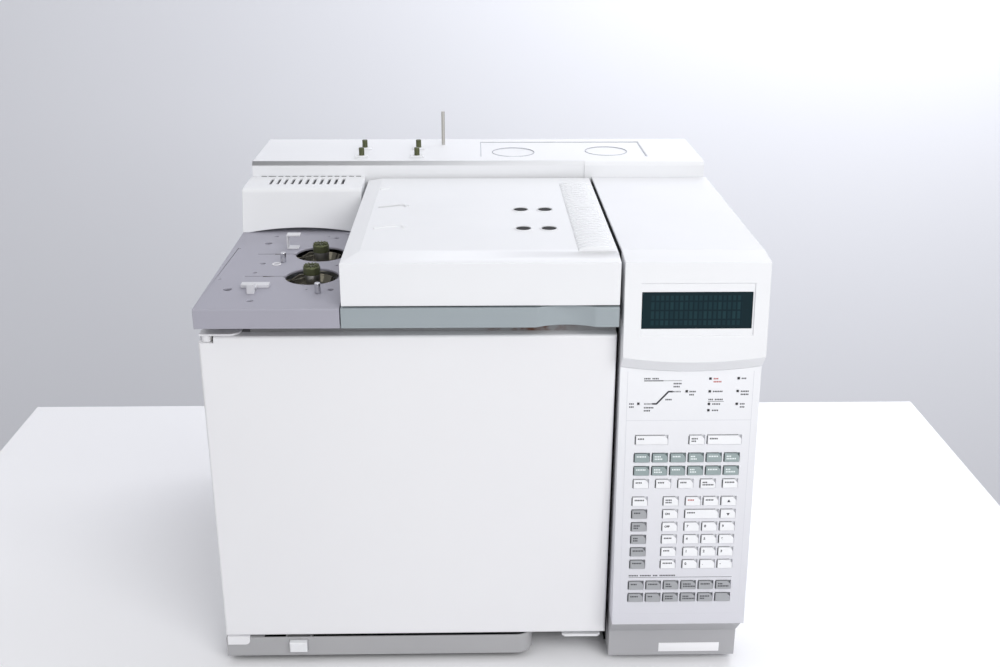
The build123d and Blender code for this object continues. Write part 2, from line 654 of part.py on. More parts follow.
def rear_panel():
    """Back sheet with two ducts that reach the oven, their collars and the mains inlet's cut-out."""
    y = (REAR_PANEL_FRONT, CABINET_DEPTH)
    panel = block((SHEET, CABINET_WIDTH - SHEET), y, (FEET_HEIGHT, DECK_BOTTOM))
    pin_hole = 2 * (FLAP_PIN_RADIUS + RUNNING_CLEARANCE)
    for z in (EXHAUST_Z, INTAKE_Z):
        panel += duct_block(z, SHEET, (SHELL_BACK, CABINET_DEPTH + DUCT_COLLAR))
    for z in (EXHAUST_Z, INTAKE_Z):
        panel -= duct_block(z, 0, (SHELL_BACK - 1, CABINET_DEPTH + DUCT_COLLAR + 1))
        panel -= block(about(DUCT_X, DUCT_WIDTH + 4 * SHEET), about(flap_y(), pin_hole),
                       about(flap_line(z), pin_hole))
    panel -= block(about(SOCKET_X, SOCKET_WIDTH + 2 * SOCKET_WALL), grown(y, 1),
                   about(SOCKET_Z, SOCKET_HEIGHT + 2 * SOCKET_WALL))
    for row in range(REAR_SLOTS):
        z = REAR_SLOT_BOTTOM + row * REAR_SLOT_PITCH
        panel -= block(REAR_SLOT_X, grown(y, 1), (z, z + REAR_SLOT_WIDTH))
    return panel


def flap_y():
    """Distance back of both flaps' hinge lines."""
    return CABINET_DEPTH + DUCT_COLLAR - FLAP_SETBACK


def air_flap(z):
    """Duct flap with a rolled top edge and a pin at each end."""
    hinge = flap_line(z)
    width = about(DUCT_X, DUCT_WIDTH - 2 * FLAP_GAP)
    plate = block(width, about(flap_y(), FLAP_SHEET), (z - DUCT_HEIGHT / 2 + FLAP_GAP, hinge))
    roll = rod_x(width, flap_y(), hinge, 2 * FLAP_PIN_RADIUS)
    pin = rod_x(about(DUCT_X, DUCT_WIDTH + 2 * SHEET), flap_y(), hinge, FLAP_PIN_RADIUS)
    return plate + roll + pin


def power_inlet():
    """Mains inlet's moulded body with its recess."""
    back = CABINET_DEPTH + 1
    body = block(about(SOCKET_X, SOCKET_WIDTH + 2 * SOCKET_WALL), (back - SOCKET_DEPTH - SOCKET_WALL, back),
                 about(SOCKET_Z, SOCKET_HEIGHT + 2 * SOCKET_WALL))
    body -= block(about(SOCKET_X, SOCKET_WIDTH), (back - SOCKET_DEPTH, back + 1), about(SOCKET_Z, SOCKET_HEIGHT))
    return body


# ---------------------------------------------------------------- door

def hinge_bore(z):
    """Bore for a hinge pin."""
    return rod_z(HINGE_INSET, HINGE_INSET, z, HINGE_PIN_RADIUS + RUNNING_CLEARANCE)


def door_pin_bores():
    """Upper and lower hinge bores in the door."""
    reach = HINGE_PIN_REACH + SEAM
    upper = DOOR_TOP - KNUCKLE_HEIGHT - reach
    return hinge_bore((DOOR_BOTTOM - 1, DOOR_BOTTOM + reach)) + hinge_bore((upper, DOOR_TOP + 1))


def door_panel():
    """Painted outer skin with rolled edges, a bored block at each hinge corner and a notch for the knuckle."""
    x = (0, OVEN_BAY_WIDTH)
    z = (DOOR_BOTTOM, DOOR_TOP)
    skin = block(x, (0, DOOR_SKIN_DEPTH), z)
    skin = fillet(skin.faces().sort_by(Axis.Y)[0].edges(), DOOR_EDGE_RADIUS)
    skin -= block(grown(x, -DOOR_SKIN), (DOOR_SKIN, DOOR_SKIN_DEPTH + 1), grown(z, -DOOR_SKIN))
    corner = (DOOR_SKIN, 2 * HINGE_INSET - DOOR_SKIN)
    height = HINGE_PIN_REACH + 4
    skin += block(corner, (DOOR_SKIN, DOOR_SKIN_DEPTH), (DOOR_BOTTOM, DOOR_BOTTOM + height))
    notch_z = DOOR_TOP - KNUCKLE_HEIGHT
    skin += block(corner, (DOOR_SKIN, DOOR_SKIN_DEPTH), (notch_z - height, notch_z))
    skin -= block((-1, KNUCKLE_NOTCH), (-1, DOOR_SKIN_DEPTH + 1), (notch_z, DOOR_TOP + 1))
    return skin - door_pin_bores()


def door_plug_block(shrink, y):
    """Cross-section of the plug that fills the cavity's mouth."""
    return cavity_block(-DOOR_PLUG_CLEARANCE - shrink, y)


def door_liner():
    """Inner pan that closes the skin, with the plug and the latch's ears."""
    x = (0, OVEN_BAY_WIDTH)
    y = (DOOR_SKIN_DEPTH, DOOR_THICKNESS)
    pan = block(x, y, (DOOR_BOTTOM, DOOR_TOP))
    pan += block((HINGE_NOTCH, OVEN_BAY_WIDTH), y, (DOOR_TOP - 1, DOOR_TOP + DOOR_PAN_RISE))
    hollow = block(grown(x, -DOOR_SKIN), (y[0] - 1, y[1] - DOOR_SKIN),
                   grown((DOOR_BOTTOM, DOOR_TOP), -DOOR_SKIN))
    pan -= hollow
    plug_back = DOOR_THICKNESS + DOOR_PLUG_DEPTH
    pan += door_plug_block(0, (y[1] - DOOR_SKIN, plug_back))
    pan -= door_plug_block(DOOR_SKIN, (y[0], plug_back - DOOR_SKIN))
    ear_z = (LATCH_PIVOT_Z - LATCH_HUB_RADIUS, DOOR_BOTTOM + DOOR_SKIN)
    for edge in about(LATCH_X, LATCH_NECK + 2 * BODY_GAP + LATCH_EAR):
        pan += block(about(edge, LATCH_EAR), about(LATCH_PIVOT_Y, 2 * LATCH_HUB_RADIUS), ear_z)
    pin_x = about(LATCH_X, LATCH_NECK + 2 * BODY_GAP)
    return pan + rod_x(pin_x, LATCH_PIVOT_Y, LATCH_PIVOT_Z, LATCH_PIN_RADIUS)


def door_insulation():
    """Wool slab between the door's skin and its inner pan, filling the plug."""
    x = grown((0, OVEN_BAY_WIDTH), -DOOR_SKIN)
    z = grown((DOOR_BOTTOM, DOOR_TOP), -DOOR_SKIN)
    wool = block(x, (DOOR_SKIN, DOOR_THICKNESS - DOOR_SKIN), z)
    plug_y = (DOOR_THICKNESS - DOOR_SKIN, DOOR_THICKNESS + DOOR_PLUG_DEPTH - DOOR_SKIN)
    wool += door_plug_block(DOOR_SKIN, plug_y)
    corner_height = HINGE_PIN_REACH + 4
    corners = ((DOOR_BOTTOM, DOOR_BOTTOM + corner_height), (DOOR_TOP - KNUCKLE_HEIGHT - corner_height, DOOR_TOP))
    for low, high in corners:
        wool -= block((0, KNUCKLE_NOTCH + DOOR_SKIN), (0, DOOR_THICKNESS), (low, high))
    return wool


def door_gasket():
    """Soft frame round the plug that meets the oven's front."""
    y = (DOOR_THICKNESS, SHELL_FRONT - BODY_GAP)
    return cavity_block(GASKET_WIDTH, y) - cavity_block(0, grown(y, 1))


def door_hinge_brackets():
    """Upper and lower hinge plates with their pins, fixed to the oven's front."""
    y = (SHEET, SHELL_FRONT)
    x = (SHEET, HINGE_PLATE_REACH)
    top = DOOR_TOP + SEAM
    upper = block(x, y, (top, top + HINGE_PLATE))
    upper += block(x, (SHELL_FRONT - HINGE_PLATE, SHELL_FRONT), (top, DECK_BOTTOM - SEAM))
    knuckle_z = DOOR_TOP - KNUCKLE_HEIGHT + SEAM
    upper += rod_z(HINGE_INSET, HINGE_INSET, (knuckle_z, top), KNUCKLE_RADIUS)
    upper += rod_z(HINGE_INSET, HINGE_INSET, (knuckle_z - HINGE_PIN_REACH, knuckle_z), HINGE_PIN_RADIUS)
    strap_edge = upper.edges().filter_by(Axis.Z).filter_by_position(Axis.X, x[1] - 1, x[1] + 1).sort_by(Axis.Y)[0]
    upper = fillet(strap_edge, STRAP_ROUND)
    lower = block(LOWER_HINGE_X, y, (KICK_TOP, DOOR_BOTTOM - SEAM))
    lip = block(LOWER_HINGE_X, (-HINGE_LIP, 0), (KICK_TOP - LOWER_HINGE_DROP, DOOR_BOTTOM - SEAM))
    lip += block(LOWER_HINGE_X, (-HINGE_LIP, y[0] + 1), (KICK_TOP, DOOR_BOTTOM - SEAM))
    lower += fillet(lip.edges().filter_by(Axis.Y).sort_by(Axis.Z)[:2].sort_by(Axis.X)[-1], HINGE_LIP_ROUND)
    lower += rod_z(HINGE_INSET, HINGE_INSET, (KICK_TOP, DOOR_BOTTOM + HINGE_PIN_REACH), HINGE_PIN_RADIUS)
    return [upper, lower]


def door_latch():
    """Finger lever under the door; its hook lies behind the oven case's lower front edge."""
    z = (LATCH_PIVOT_Z - LATCH_PLATE, LATCH_PIVOT_Z)
    neck = about(LATCH_X, LATCH_NECK)
    tab_back = LATCH_PIVOT_Y - LATCH_HUB_RADIUS - 1
    tab = block(about(LATCH_X, LATCH_WIDTH), (LATCH_FRONT, tab_back), z)
    front_corners = tab.edges().filter_by(Axis.Z).sort_by(Axis.Y)[:2]
    tab = chamfer(front_corners, LATCH_CORNER)
    arm = block(neck, (tab_back, LATCH_HOOK_BACK), z)
    hub = rod_x(neck, LATCH_PIVOT_Y, LATCH_PIVOT_Z, LATCH_HUB_RADIUS)
    hook = block(neck, (SHELL_FRONT + SHELL_SHEET + 1, LATCH_HOOK_BACK), (z[0], PAN_TOP - BODY_GAP - 0.4))
    bore = rod_x(grown(neck, 1), LATCH_PIVOT_Y, LATCH_PIVOT_Z, LATCH_PIN_RADIUS + RUNNING_CLEARANCE)
    return tab + arm + hub + hook - bore


# ---------------------------------------------------------------- top deck

def inlet_plate():
    """Moulded inlet deck with two round wells, each with a cusp and a groove to its left."""
    x = (0, INLET_BAY_WIDTH)
    y = (-DECK_OVERHANG, LID_DEPTH)
    z = (DECK_BOTTOM, DECK_TOP)
    plate = block(x, y, z)
    top_edges = plate.faces().sort_by(Axis.Z)[-1].edges().filter_by(Axis.X).sort_by(Axis.Y)[:1]
    plate = fillet(top_edges, 2)
    plate -= block(grown(x, -PLATE_WALL), grown(y, -PLATE_WALL), (z[0] - 1, z[1] - PLATE_WALL))
    for well_y in (INLET_FRONT_Y, INLET_REAR_Y):
        cut = rod_z(INLET_X, well_y, grown(z, 1), INLET_WELL_RADIUS)
        cusp_x = INLET_X - INLET_WELL_RADIUS
        cusp = Polyline((cusp_x + 4, well_y - 6), (cusp_x - INLET_CUSP, well_y), (cusp_x + 4, well_y + 6),
                        close=True)
        cut += extrude(Plane.XY.offset(z[0] - 1) * make_face(cusp), DECK_THICKNESS + 2)
        groove = block((INLET_GROOVE_START, cusp_x), about(well_y, INLET_GROOVE_WIDTH), (z[1] - 1, z[1] + 1))
        plate -= cut + groove
    for hole_x, hole_y, radius in PLATE_HOLES:
        plate -= rod_z(hole_x, hole_y, (z[1] - PLATE_WALL - 1, z[1] + 1), radius)
    return plate


def inlet(y):
    """Split inlet: heater block in the well, welded body down into the oven and the column nut."""
    heater = post_z(INLET_X, y, (DECK_BOTTOM, DECK_BOTTOM + INLET_BLOCK_HEIGHT), INLET_BLOCK)
    seat = DECK_TOP + NUT_TOP - NUT_HEIGHT
    weld = rod_z(INLET_X, y, (CAVITY_Z[1] - 6, seat), WELD_RADIUS)
    post = rod_z(INLET_X, y, (seat, seat + NUT_HEIGHT - NUT_CAP), NUT_POST_RADIUS)
    column_nut = Pos(INLET_X, y, CAVITY_Z[1] - 6 - INLET_NUT_DROP / 2) * extrude(
        RegularPolygon(radius=6, side_count=6), INLET_NUT_DROP / 2, both=True)
    return heater + weld + post + column_nut


def septum_nut(y):
    """Twelve-sided cap nut that turns on the inlet's threaded post."""
    seat = DECK_TOP + NUT_TOP - NUT_HEIGHT
    nut = Pos(INLET_X, y, seat) * extrude(RegularPolygon(NUT_RADIUS, NUT_FLATS), NUT_HEIGHT)
    nut = chamfer(nut.faces().sort_by(Axis.Z)[-1].edges(), 1.5)
    bore_z = (seat - 1, seat + NUT_HEIGHT - NUT_CAP + SEAM)
    return nut - rod_z(INLET_X, y, bore_z, NUT_POST_RADIUS + RUNNING_CLEARANCE)


def injector_posts():
    """Locating posts, a winged post and a bent lamp bracket, all standing on the inlet plate."""
    posts = []
    for x, y, rise in ROUND_POSTS:
        posts.append(rod_z(x, y, (DECK_TOP, DECK_TOP + rise), ROUND_POST_RADIUS))
    x, y, rise = WING_POST
    wing = post_z(x, y, (DECK_TOP, DECK_TOP + rise), 8)
    wing += block(about(x, 7), (y, y + 26), (DECK_TOP, DECK_TOP + 4))
    wing += block(about(x + 1, 2 * WING_SPAN), (y + 16, y + 26), (DECK_TOP, DECK_TOP + 4))
    x, y, rise = LAMP_BRACKET
    bracket = block(about(x, 14), about(y, 12), (DECK_TOP, DECK_TOP + 2))
    bracket += block((x - 7, x - 5), about(y, 12), (DECK_TOP, DECK_TOP + rise))
    bracket += block((x - 7, x + 9), about(y, 12), (DECK_TOP + rise - 2, DECK_TOP + rise))
    return posts + [wing, bracket]


def hood_outline(inset):
    """The hood seen from the side, inset by a wall; its front leans back towards the top."""
    low = DECK_TOP - (1 if inset else 0)
    top = HOOD_TOP - inset
    back = LID_DEPTH - inset
    return [(HOOD_FRONT - HOOD_LEAN + inset, low), (HOOD_FRONT + inset, top), (back, top), (back, low)]


def inlet_hood():
    """Slotted hood over the inlet lines; its front leans back and its lower edge is arched."""
    x = (0, INLET_BAY_WIDTH - DECK_GAP)
    z = (DECK_TOP, HOOD_TOP)
    hood = along_x(hood_outline(0), x)
    edge = hood.edges().filter_by(Axis.X).group_by(Axis.Z)[-1].sort_by(Axis.Y)[0]
    hood = fillet(edge, HOOD_ROUND)
    hood -= along_x(hood_outline(MOULDED_WALL), grown(x, -MOULDED_WALL))
    middle = (x[0] + x[1]) / 2
    arch = make_face([ThreePointArc((x[0] + 8, z[0]), (middle, z[0] + HOOD_ARCH), (x[1] - 8, z[0])),
                      Line((x[1] - 8, z[0]), (x[0] + 8, z[0]))])
    lip = HOOD_FRONT - HOOD_LEAN
    hood -= extrude(Plane.XZ.offset(-(lip + 2 * MOULDED_WALL)) * arch, 2 * MOULDED_WALL + 2)
    for index in range(HOOD_SLOTS):
        start = HOOD_SLOT_START + index * HOOD_SLOT_PITCH
        hood -= block(about(start, HOOD_SLOT_WIDTH), HOOD_SLOT_Y, (z[1] - MOULDED_WALL - 1, z[1] + 1))
    return hood


def lid_trim_strip():
    """Hollow strip below the lid's front with the finger scoop that lifts the lid."""
    x = (LID_LEFT - DECK_GAP / 2, OVEN_BAY_WIDTH)
    y = (-DECK_OVERHANG, TRIM_DEPTH - DECK_OVERHANG)
    z = (DECK_BOTTOM, DECK_TOP)
    scoop_radius = (SCOOP_WIDTH ** 2 / 4 + SCOOP_DEPTH ** 2) / (2 * SCOOP_DEPTH)
    scoop_y = y[0] + SCOOP_DEPTH - scoop_radius
    outer = block(x, y, z) - rod_z(SCOOP_X, scoop_y, grown(z, 1), scoop_radius)
    inner = block(grown(x, -TRIM_WALL), (y[0] + TRIM_WALL, y[1] + 1), grown(z, -TRIM_WALL))
    inner -= rod_z(SCOOP_X, scoop_y, grown(z, 2), scoop_radius + TRIM_WALL)
    return outer - inner


def lid_hinge_spans():
    """X spans of the lid's two knuckles, each paired with the ear beside it on its inner side."""
    left = LID_LEFT + LID_HINGE_INBOARD
    right = OVEN_BAY_WIDTH - LID_HINGE_INBOARD
    left_knuckle = (left, left + LID_KNUCKLE_LENGTH)
    right_knuckle = (right - LID_KNUCKLE_LENGTH, right)
    left_ear = (left_knuckle[1] + LID_EAR_GAP, left_knuckle[1] + LID_EAR_GAP + LID_EAR)
    right_ear = (right_knuckle[0] - LID_EAR_GAP - LID_EAR, right_knuckle[0] - LID_EAR_GAP)
    return ((left_knuckle, left_ear), (right_knuckle, right_ear))


def detector_deck():
    """Deck under the lid: detector holes, four lid buffers and two hinge ears with pins."""
    x = (LID_LEFT - DECK_GAP / 2, OVEN_BAY_WIDTH)
    y = (TRIM_DEPTH - DECK_OVERHANG, LID_DEPTH - REAR_STEP)
    z = (DECK_BOTTOM, DECK_TOP)
    deck = block(x, y, z) - block(grown(x, -PLATE_WALL), grown(y, -PLATE_WALL), (z[0] - 1, z[1] - PLATE_WALL))
    for hole_y in (DETECTOR_FRONT_Y, DETECTOR_REAR_Y):
        deck -= post_z(DETECTOR_TUBE_X, hole_y, grown(z, 1), 2 * (DETECTOR_TUBE_RADIUS + DETECTOR_CLEARANCE))
    for buffer_x in (LID_LEFT + LID_WALL / 2 + 1, OVEN_BAY_WIDTH - LID_WALL / 2 - 1):
        for buffer_y in (40, 290):
            deck += block(about(buffer_x, 4), about(buffer_y, 8), (z[1], LID_BOTTOM))
    for knuckle, ear in lid_hinge_spans():
        stem = block(ear, about(LID_HINGE_Y, LID_EAR_DEPTH), (z[1], LID_HINGE_Z + LID_EAR_DEPTH / 2))
        outer = knuckle[0] if knuckle[0] < ear[0] else ear[0]
        inner = knuckle[1] if knuckle[1] > ear[1] else ear[1]
        deck += stem + rod_x((outer, inner), LID_HINGE_Y, LID_HINGE_Z, LID_PIN_RADIUS)
    return deck


def lid_outline_xz(inset):
    """The lid seen from the front, inset by a wall: square on the right, bevelled on the left."""
    left = LID_LEFT + inset
    right = OVEN_BAY_WIDTH - inset
    top = LID_TOP - inset
    low = LID_BOTTOM - (1 if inset else 0)
    return [(left, low), (left, top - LID_BEVEL_DROP), (LID_LEFT + LID_BEVEL_SIDE, top), (right, top),
            (right, low)]


def lid_outline_yz(inset, back):
    """The lid seen from the side, inset by a wall, with its shallow front bevel."""
    front = -DECK_OVERHANG + 2 + inset
    top = LID_TOP - inset
    low = LID_BOTTOM - (1 if inset else 0)
    return [(front, low), (front, top - LID_BEVEL_DROP), (front + LID_BEVEL_FRONT, top), (back, top),
            (back, low)]


def louvre_hump():
    """Raised strip along the lid's right side, sloping down all round."""
    slope = 3 * LOUVRE_HUMP
    base = block((OVEN_BAY_WIDTH - 1 - LOUVRE_WIDTH, OVEN_BAY_WIDTH - 1),
                 (LOUVRE_START - slope, LOUVRE_END + slope), (LID_TOP - 1, LID_TOP + LOUVRE_HUMP))
    return chamfer(base.faces().sort_by(Axis.Z)[-1].edges(), LOUVRE_HUMP, slope)


def lid_hole_places():
    """Centres of the four round holes, a pair over each detector."""
    half = DETECTOR_TOWER_SPREAD / 2
    return [(DETECTOR_X + side * half, y) for side in (-1, 1) for y in (DETECTOR_FRONT_Y, DETECTOR_REAR_Y)]


def lid_arms():
    """Low raised arms, the front two with a round boss at their end."""
    z = (LID_TOP - 1, LID_TOP + LID_ARM_RISE)
    arms = [rod_z(x, y, z, LID_BOSS_RADIUS) for x, y in LID_BOSSES]
    for x0, y0, x1, y1 in LID_ARMS:
        arm = block(about(0, hypot(x1 - x0, y1 - y0)), about(0, LID_ARM_WIDTH), z)
        turn = degrees(atan2(y1 - y0, x1 - x0))
        arms.append(Pos((x0 + x1) / 2, (y0 + y1) / 2, 0) * Rot(0, 0, turn) * arm)
    return arms


def detector_lid():
    """Hinged moulded lid: bevelled top, louvred hump, four round holes and two hinge knuckles."""
    everywhere = (-400, 1200)
    outer = along_y(lid_outline_xz(0), everywhere) & along_x(lid_outline_yz(0, LID_BACK), everywhere)
    rear_edge = outer.edges().filter_by(Axis.X).group_by(Axis.Z)[-1].sort_by(Axis.Y)[-1]
    outer = fillet(rear_edge, LID_REAR_ROUND)
    inner = along_y(lid_outline_xz(LID_WALL), everywhere)
    inner &= along_x(lid_outline_yz(LID_WALL, LID_BACK + 1), everywhere)
    lid = outer + louvre_hump() + lid_arms() - inner
    for x, y in lid_hole_places():
        lid += rod_z(x, y, (LID_TOP - 1, LID_TOP + LID_RIM_RISE), LID_HOLE_RADIUS + LID_RIM_WIDTH)
    pitch = (LOUVRE_END - LOUVRE_START) / LOUVRE_COUNT
    slot_x = grown((OVEN_BAY_WIDTH - 1 - LOUVRE_WIDTH, OVEN_BAY_WIDTH - 1), -LOUVRE_EDGE)
    for index in range(LOUVRE_COUNT):
        slot_y = about(LOUVRE_START + (index + 0.5) * pitch, LOUVRE_SLOT)
        lid -= block(slot_x, slot_y, (LID_TOP - LID_WALL - 1, LID_TOP + LOUVRE_HUMP + 1))
    for x, y in lid_hole_places():
        lid -= rod_z(x, y, (LID_TOP - LID_WALL - 1, LID_TOP + 2 * LID_RIM_RISE), LID_HOLE_RADIUS)
    for knuckle, ear in lid_hinge_spans():
        barrel = rod_x(knuckle, LID_HINGE_Y, LID_HINGE_Z, LID_KNUCKLE_RADIUS)
        barrel += block(knuckle, about(LID_HINGE_Y, 3), (LID_HINGE_Z, LID_TOP - LID_WALL + 0.5))
        lid += barrel
        lid -= rod_x(grown(knuckle, 1), LID_HINGE_Y, LID_HINGE_Z, LID_PIN_RADIUS + RUNNING_CLEARANCE)
    return lid


def detector(y):
    """Flame detector: tube up from the oven, block on the deck and two collector towers."""
    tube_z = (CAVITY_Z[1] - DETECTOR_DROP, DECK_TOP)
    section = RegularPolygon(DETECTOR_TUBE_RADIUS, 6)
    tube = Pos(DETECTOR_TUBE_X, y, tube_z[0]) * extrude(section, tube_z[1] - tube_z[0])
    body = block(about(DETECTOR_X, DETECTOR_TOWER_SPREAD + 20), about(y, 30),
                 (DECK_TOP, DECK_TOP + DETECTOR_BLOCK))
    tower_z = (DECK_TOP + DETECTOR_BLOCK, LID_TOP - LID_WALL - DETECTOR_HEADROOM)
    towers = [rod_z(DETECTOR_X + side * DETECTOR_TOWER_SPREAD / 2, y, tower_z, DETECTOR_TOWER_RADIUS)
              for side in (-1, 1)]
    return tube + body + towers


# ---------------------------------------------------------------- rear cover

def rear_cover():
    """Hollow top cover over the pneumatics, stepped forward on the right, with a recess and knock-outs."""
    x = (REAR_COVER_INSET, CABINET_WIDTH - REAR_COVER_INSET - SHEET)
    z = (DECK_BOTTOM, REAR_COVER_TOP)
    step_y = LID_DEPTH - REAR_STEP
    cover = rounded_block((x[0], REAR_STEP_X), (LID_DEPTH, CABINET_DEPTH), z, REAR_FRONT_ROUND)
    cover += rounded_block((REAR_STEP_X, x[1]), (step_y, CABINET_DEPTH), z, REAR_FRONT_ROUND)
    inside_x = grown(x, -MOULDED_WALL)
    inside_z = (z[0] - 1, z[1] - MOULDED_WALL)
    inside_back = CABINET_DEPTH - MOULDED_WALL
    cover -= block((inside_x[0], REAR_STEP_X + MOULDED_WALL), (LID_DEPTH + MOULDED_WALL, inside_back), inside_z)
    cover -= block((REAR_STEP_X + MOULDED_WALL, inside_x[1]), (step_y + MOULDED_WALL, inside_back), inside_z)
    floor_z = REAR_COVER_TOP - REAR_RECESS_DEPTH
    cover -= block(REAR_RECESS[0:2], REAR_RECESS[2:4], (floor_z, REAR_COVER_TOP + 1))
    for x, y in KNOCKOUTS:
        cover -= rod_z(x, y, (floor_z - KNOCKOUT_DEPTH, floor_z + 1), KNOCKOUT_RADIUS)
    return cover


def flow_manifold():
    """Pneumatics housing, open at the back, on its tray under the rear cover."""
    tray_z = (DECK_BOTTOM, DECK_BOTTOM + 2)
    tray = block((REAR_COVER_INSET + 2 * MOULDED_WALL, OVEN_BAY_WIDTH),
                 (LID_DEPTH + MOULDED_WALL, CABINET_DEPTH - MOULDED_WALL), tray_z)
    housing_z = (tray_z[1], REAR_COVER_TOP - MANIFOLD_HEADROOM)
    housing = block(MANIFOLD_X, MANIFOLD_Y, housing_z)
    housing -= block(grown(MANIFOLD_X, -SHEET), (MANIFOLD_Y[0] + SHEET, MANIFOLD_Y[1] + 1),
                     (housing_z[0] - 1, housing_z[1] - SHEET))
    return tray + housing


def vent_fittings():
    """Four olive tube fittings, each on a long plinth on the rear cover."""
    fittings = []
    for x in FITTING_X:
        for y in FITTING_Y:
            plinth_top = REAR_COVER_TOP + FITTING_PLINTH_HEIGHT
            stem = rod_z(x, y, (plinth_top, REAR_COVER_TOP + FITTING_RISE), FITTING_RADIUS)
            plinth = block(about(x, FITTING_PLINTH), about(y, 3 * FITTING_RADIUS), (REAR_COVER_TOP, plinth_top))
            fittings.append(stem + plinth)
    return fittings


def vent_tube():
    """Thin steel vent tube that stands on the rear cover."""
    return rod_z(*VENT_TUBE, (REAR_COVER_TOP, REAR_COVER_TOP + VENT_TUBE_RISE), VENT_TUBE_RADIUS)


# ---------------------------------------------------------------- column front

def above_arch(drop):
    """Everything above the arched seam between keypad panel and display head, lowered by a gap."""
    left = COLUMN_LEFT - 1
    right = CABINET_WIDTH + 1
    low = HEAD_BOTTOM - drop
    arc = ThreePointArc((left, low), ((left + right) / 2, low - HEAD_SAG), (right, low))
    sides = Polyline((right, low), (right, low + 2 * HEAD_HEIGHT), (left, low + 2 * HEAD_HEIGHT), (left, low))
    return extrude(Plane.XZ.offset(-200) * make_face([arc, sides]), 400)


def column_foot():
    """Hollow foot moulding of the column, sloping out to the keypad panel."""
    x = (COLUMN_LEFT, CABINET_WIDTH - COLUMN_FOOT_INSET)
    outline = [(FOOT_FRONT, COLUMN_FOOT_BOTTOM), (FOOT_FRONT, FOOT_KNEE_Z), (KEYPAD_FRONT, KEYPAD_BOTTOM),
               (BEZEL_BACK, KEYPAD_BOTTOM), (BEZEL_BACK, COLUMN_FOOT_BOTTOM)]
    face = make_face(Polyline(*outline, close=True))
    inside = offset(face, -MOULDED_WALL, kind=Kind.INTERSECTION)
    hollow = extrude(Plane.YZ.offset(x[0] + MOULDED_WALL) * inside, x[1] - x[0] - 2 * MOULDED_WALL)
    foot = extrude(Plane.YZ.offset(x[0]) * face, x[1] - x[0])
    return foot - hollow - Pos(0, MOULDED_WALL + 1, 0) * hollow


def key_outline(u, v, width):
    """Key outline on the keypad plane, cut away at its top right corner."""
    left, right = about(u, width)
    low, high = about(v, KEY_HEIGHT)
    return make_face(Polyline((left, low), (right, low), (right, high - KEY_CORNER), (right - KEY_CORNER, high),
                              (left, high), close=True))


def key(u, v, width=KEY_WIDTH):
    """One key: cap through the panel and a retaining flange behind it."""
    cap_depth = MOULDED_WALL + KEY_RISE
    cap = Pos(0, 0, -MOULDED_WALL) * extrude(key_outline(u, v, width), cap_depth)
    flange = block(about(u, width + 2 * KEY_FLANGE), about(v, KEY_HEIGHT + 2 * KEY_FLANGE),
                   (-MOULDED_WALL - KEY_FLANGE_THICKNESS, -MOULDED_WALL))
    return KEYPAD_FACE.location * (cap + flange)


def row_v(base, row):
    """Height of a row above the lowest row of its block."""
    return base + row * ROW_PITCH


def key_places():
    """Every key: node name to a list of (u, v, width)."""
    columns = range(6)
    channel = [(CHANNEL_U + c * CHANNEL_PITCH, row_v(CHANNEL_V, r), KEY_WIDTH) for r in (0, 1) for c in columns]
    method = [(METHOD_U + c * METHOD_PITCH, row_v(METHOD_V, r), KEY_WIDTH) for r in (0, 1) for c in columns]
    digits = [(DIGIT_U + c * DIGIT_PITCH, row_v(BLOCK_V, r), KEY_WIDTH) for r in range(4) for c in range(3)]
    mode = [(MODE_U, row_v(BLOCK_V, r), KEY_WIDTH) for r in range(6)]
    mode += [(DIGIT_U + c * DIGIT_PITCH, row_v(BLOCK_V, 5), KEY_WIDTH) for c in (0, 1)]
    return {
        "key_stop": [(STOP_U, TOP_ROW_V, STOP_WIDTH)],
        "key_prep_run": [(PREP_U, TOP_ROW_V, KEY_WIDTH)],
        "key_start": [(START_U, TOP_ROW_V, WIDE_KEY)],
        "key_enter": [(ENTER_U, row_v(BLOCK_V, 4), WIDE_KEY)],
        "key_up": [(DIGIT_U + 2 * DIGIT_PITCH, row_v(BLOCK_V, 5), KEY_WIDTH)],
        "key_down": [(DIGIT_U + 2 * DIGIT_PITCH, row_v(BLOCK_V, 4), KEY_WIDTH)],
        "channel_keys": channel,
        "oven_keys": [(OVEN_KEY_U + c * OVEN_KEY_PITCH, OVEN_KEY_V, KEY_WIDTH) for c in range(5)],
        "side_keys": [(SIDE_U, row_v(BLOCK_V, r), KEY_WIDTH) for r in range(6)],
        "mode_keys": mode,
        "number_keys": digits,
        "method_keys": method,
    }


def lamp_places():
    """Centres of the status lamps on the keypad panel."""
    return [(u, KEYPAD_LENGTH - drop) for u, drop in LAMPS]


def boss_places():
    """Six bosses that carry the key board."""
    edge = MOULDED_WALL + BOARD_BOSS + 1
    heights = (15, KEYPAD_LENGTH / 2 + 8, KEYPAD_LENGTH - 1.5 * BOARD_TOP_GAP)
    return [(u, v) for u in (edge, COLUMN_WIDTH - edge) for v in heights]


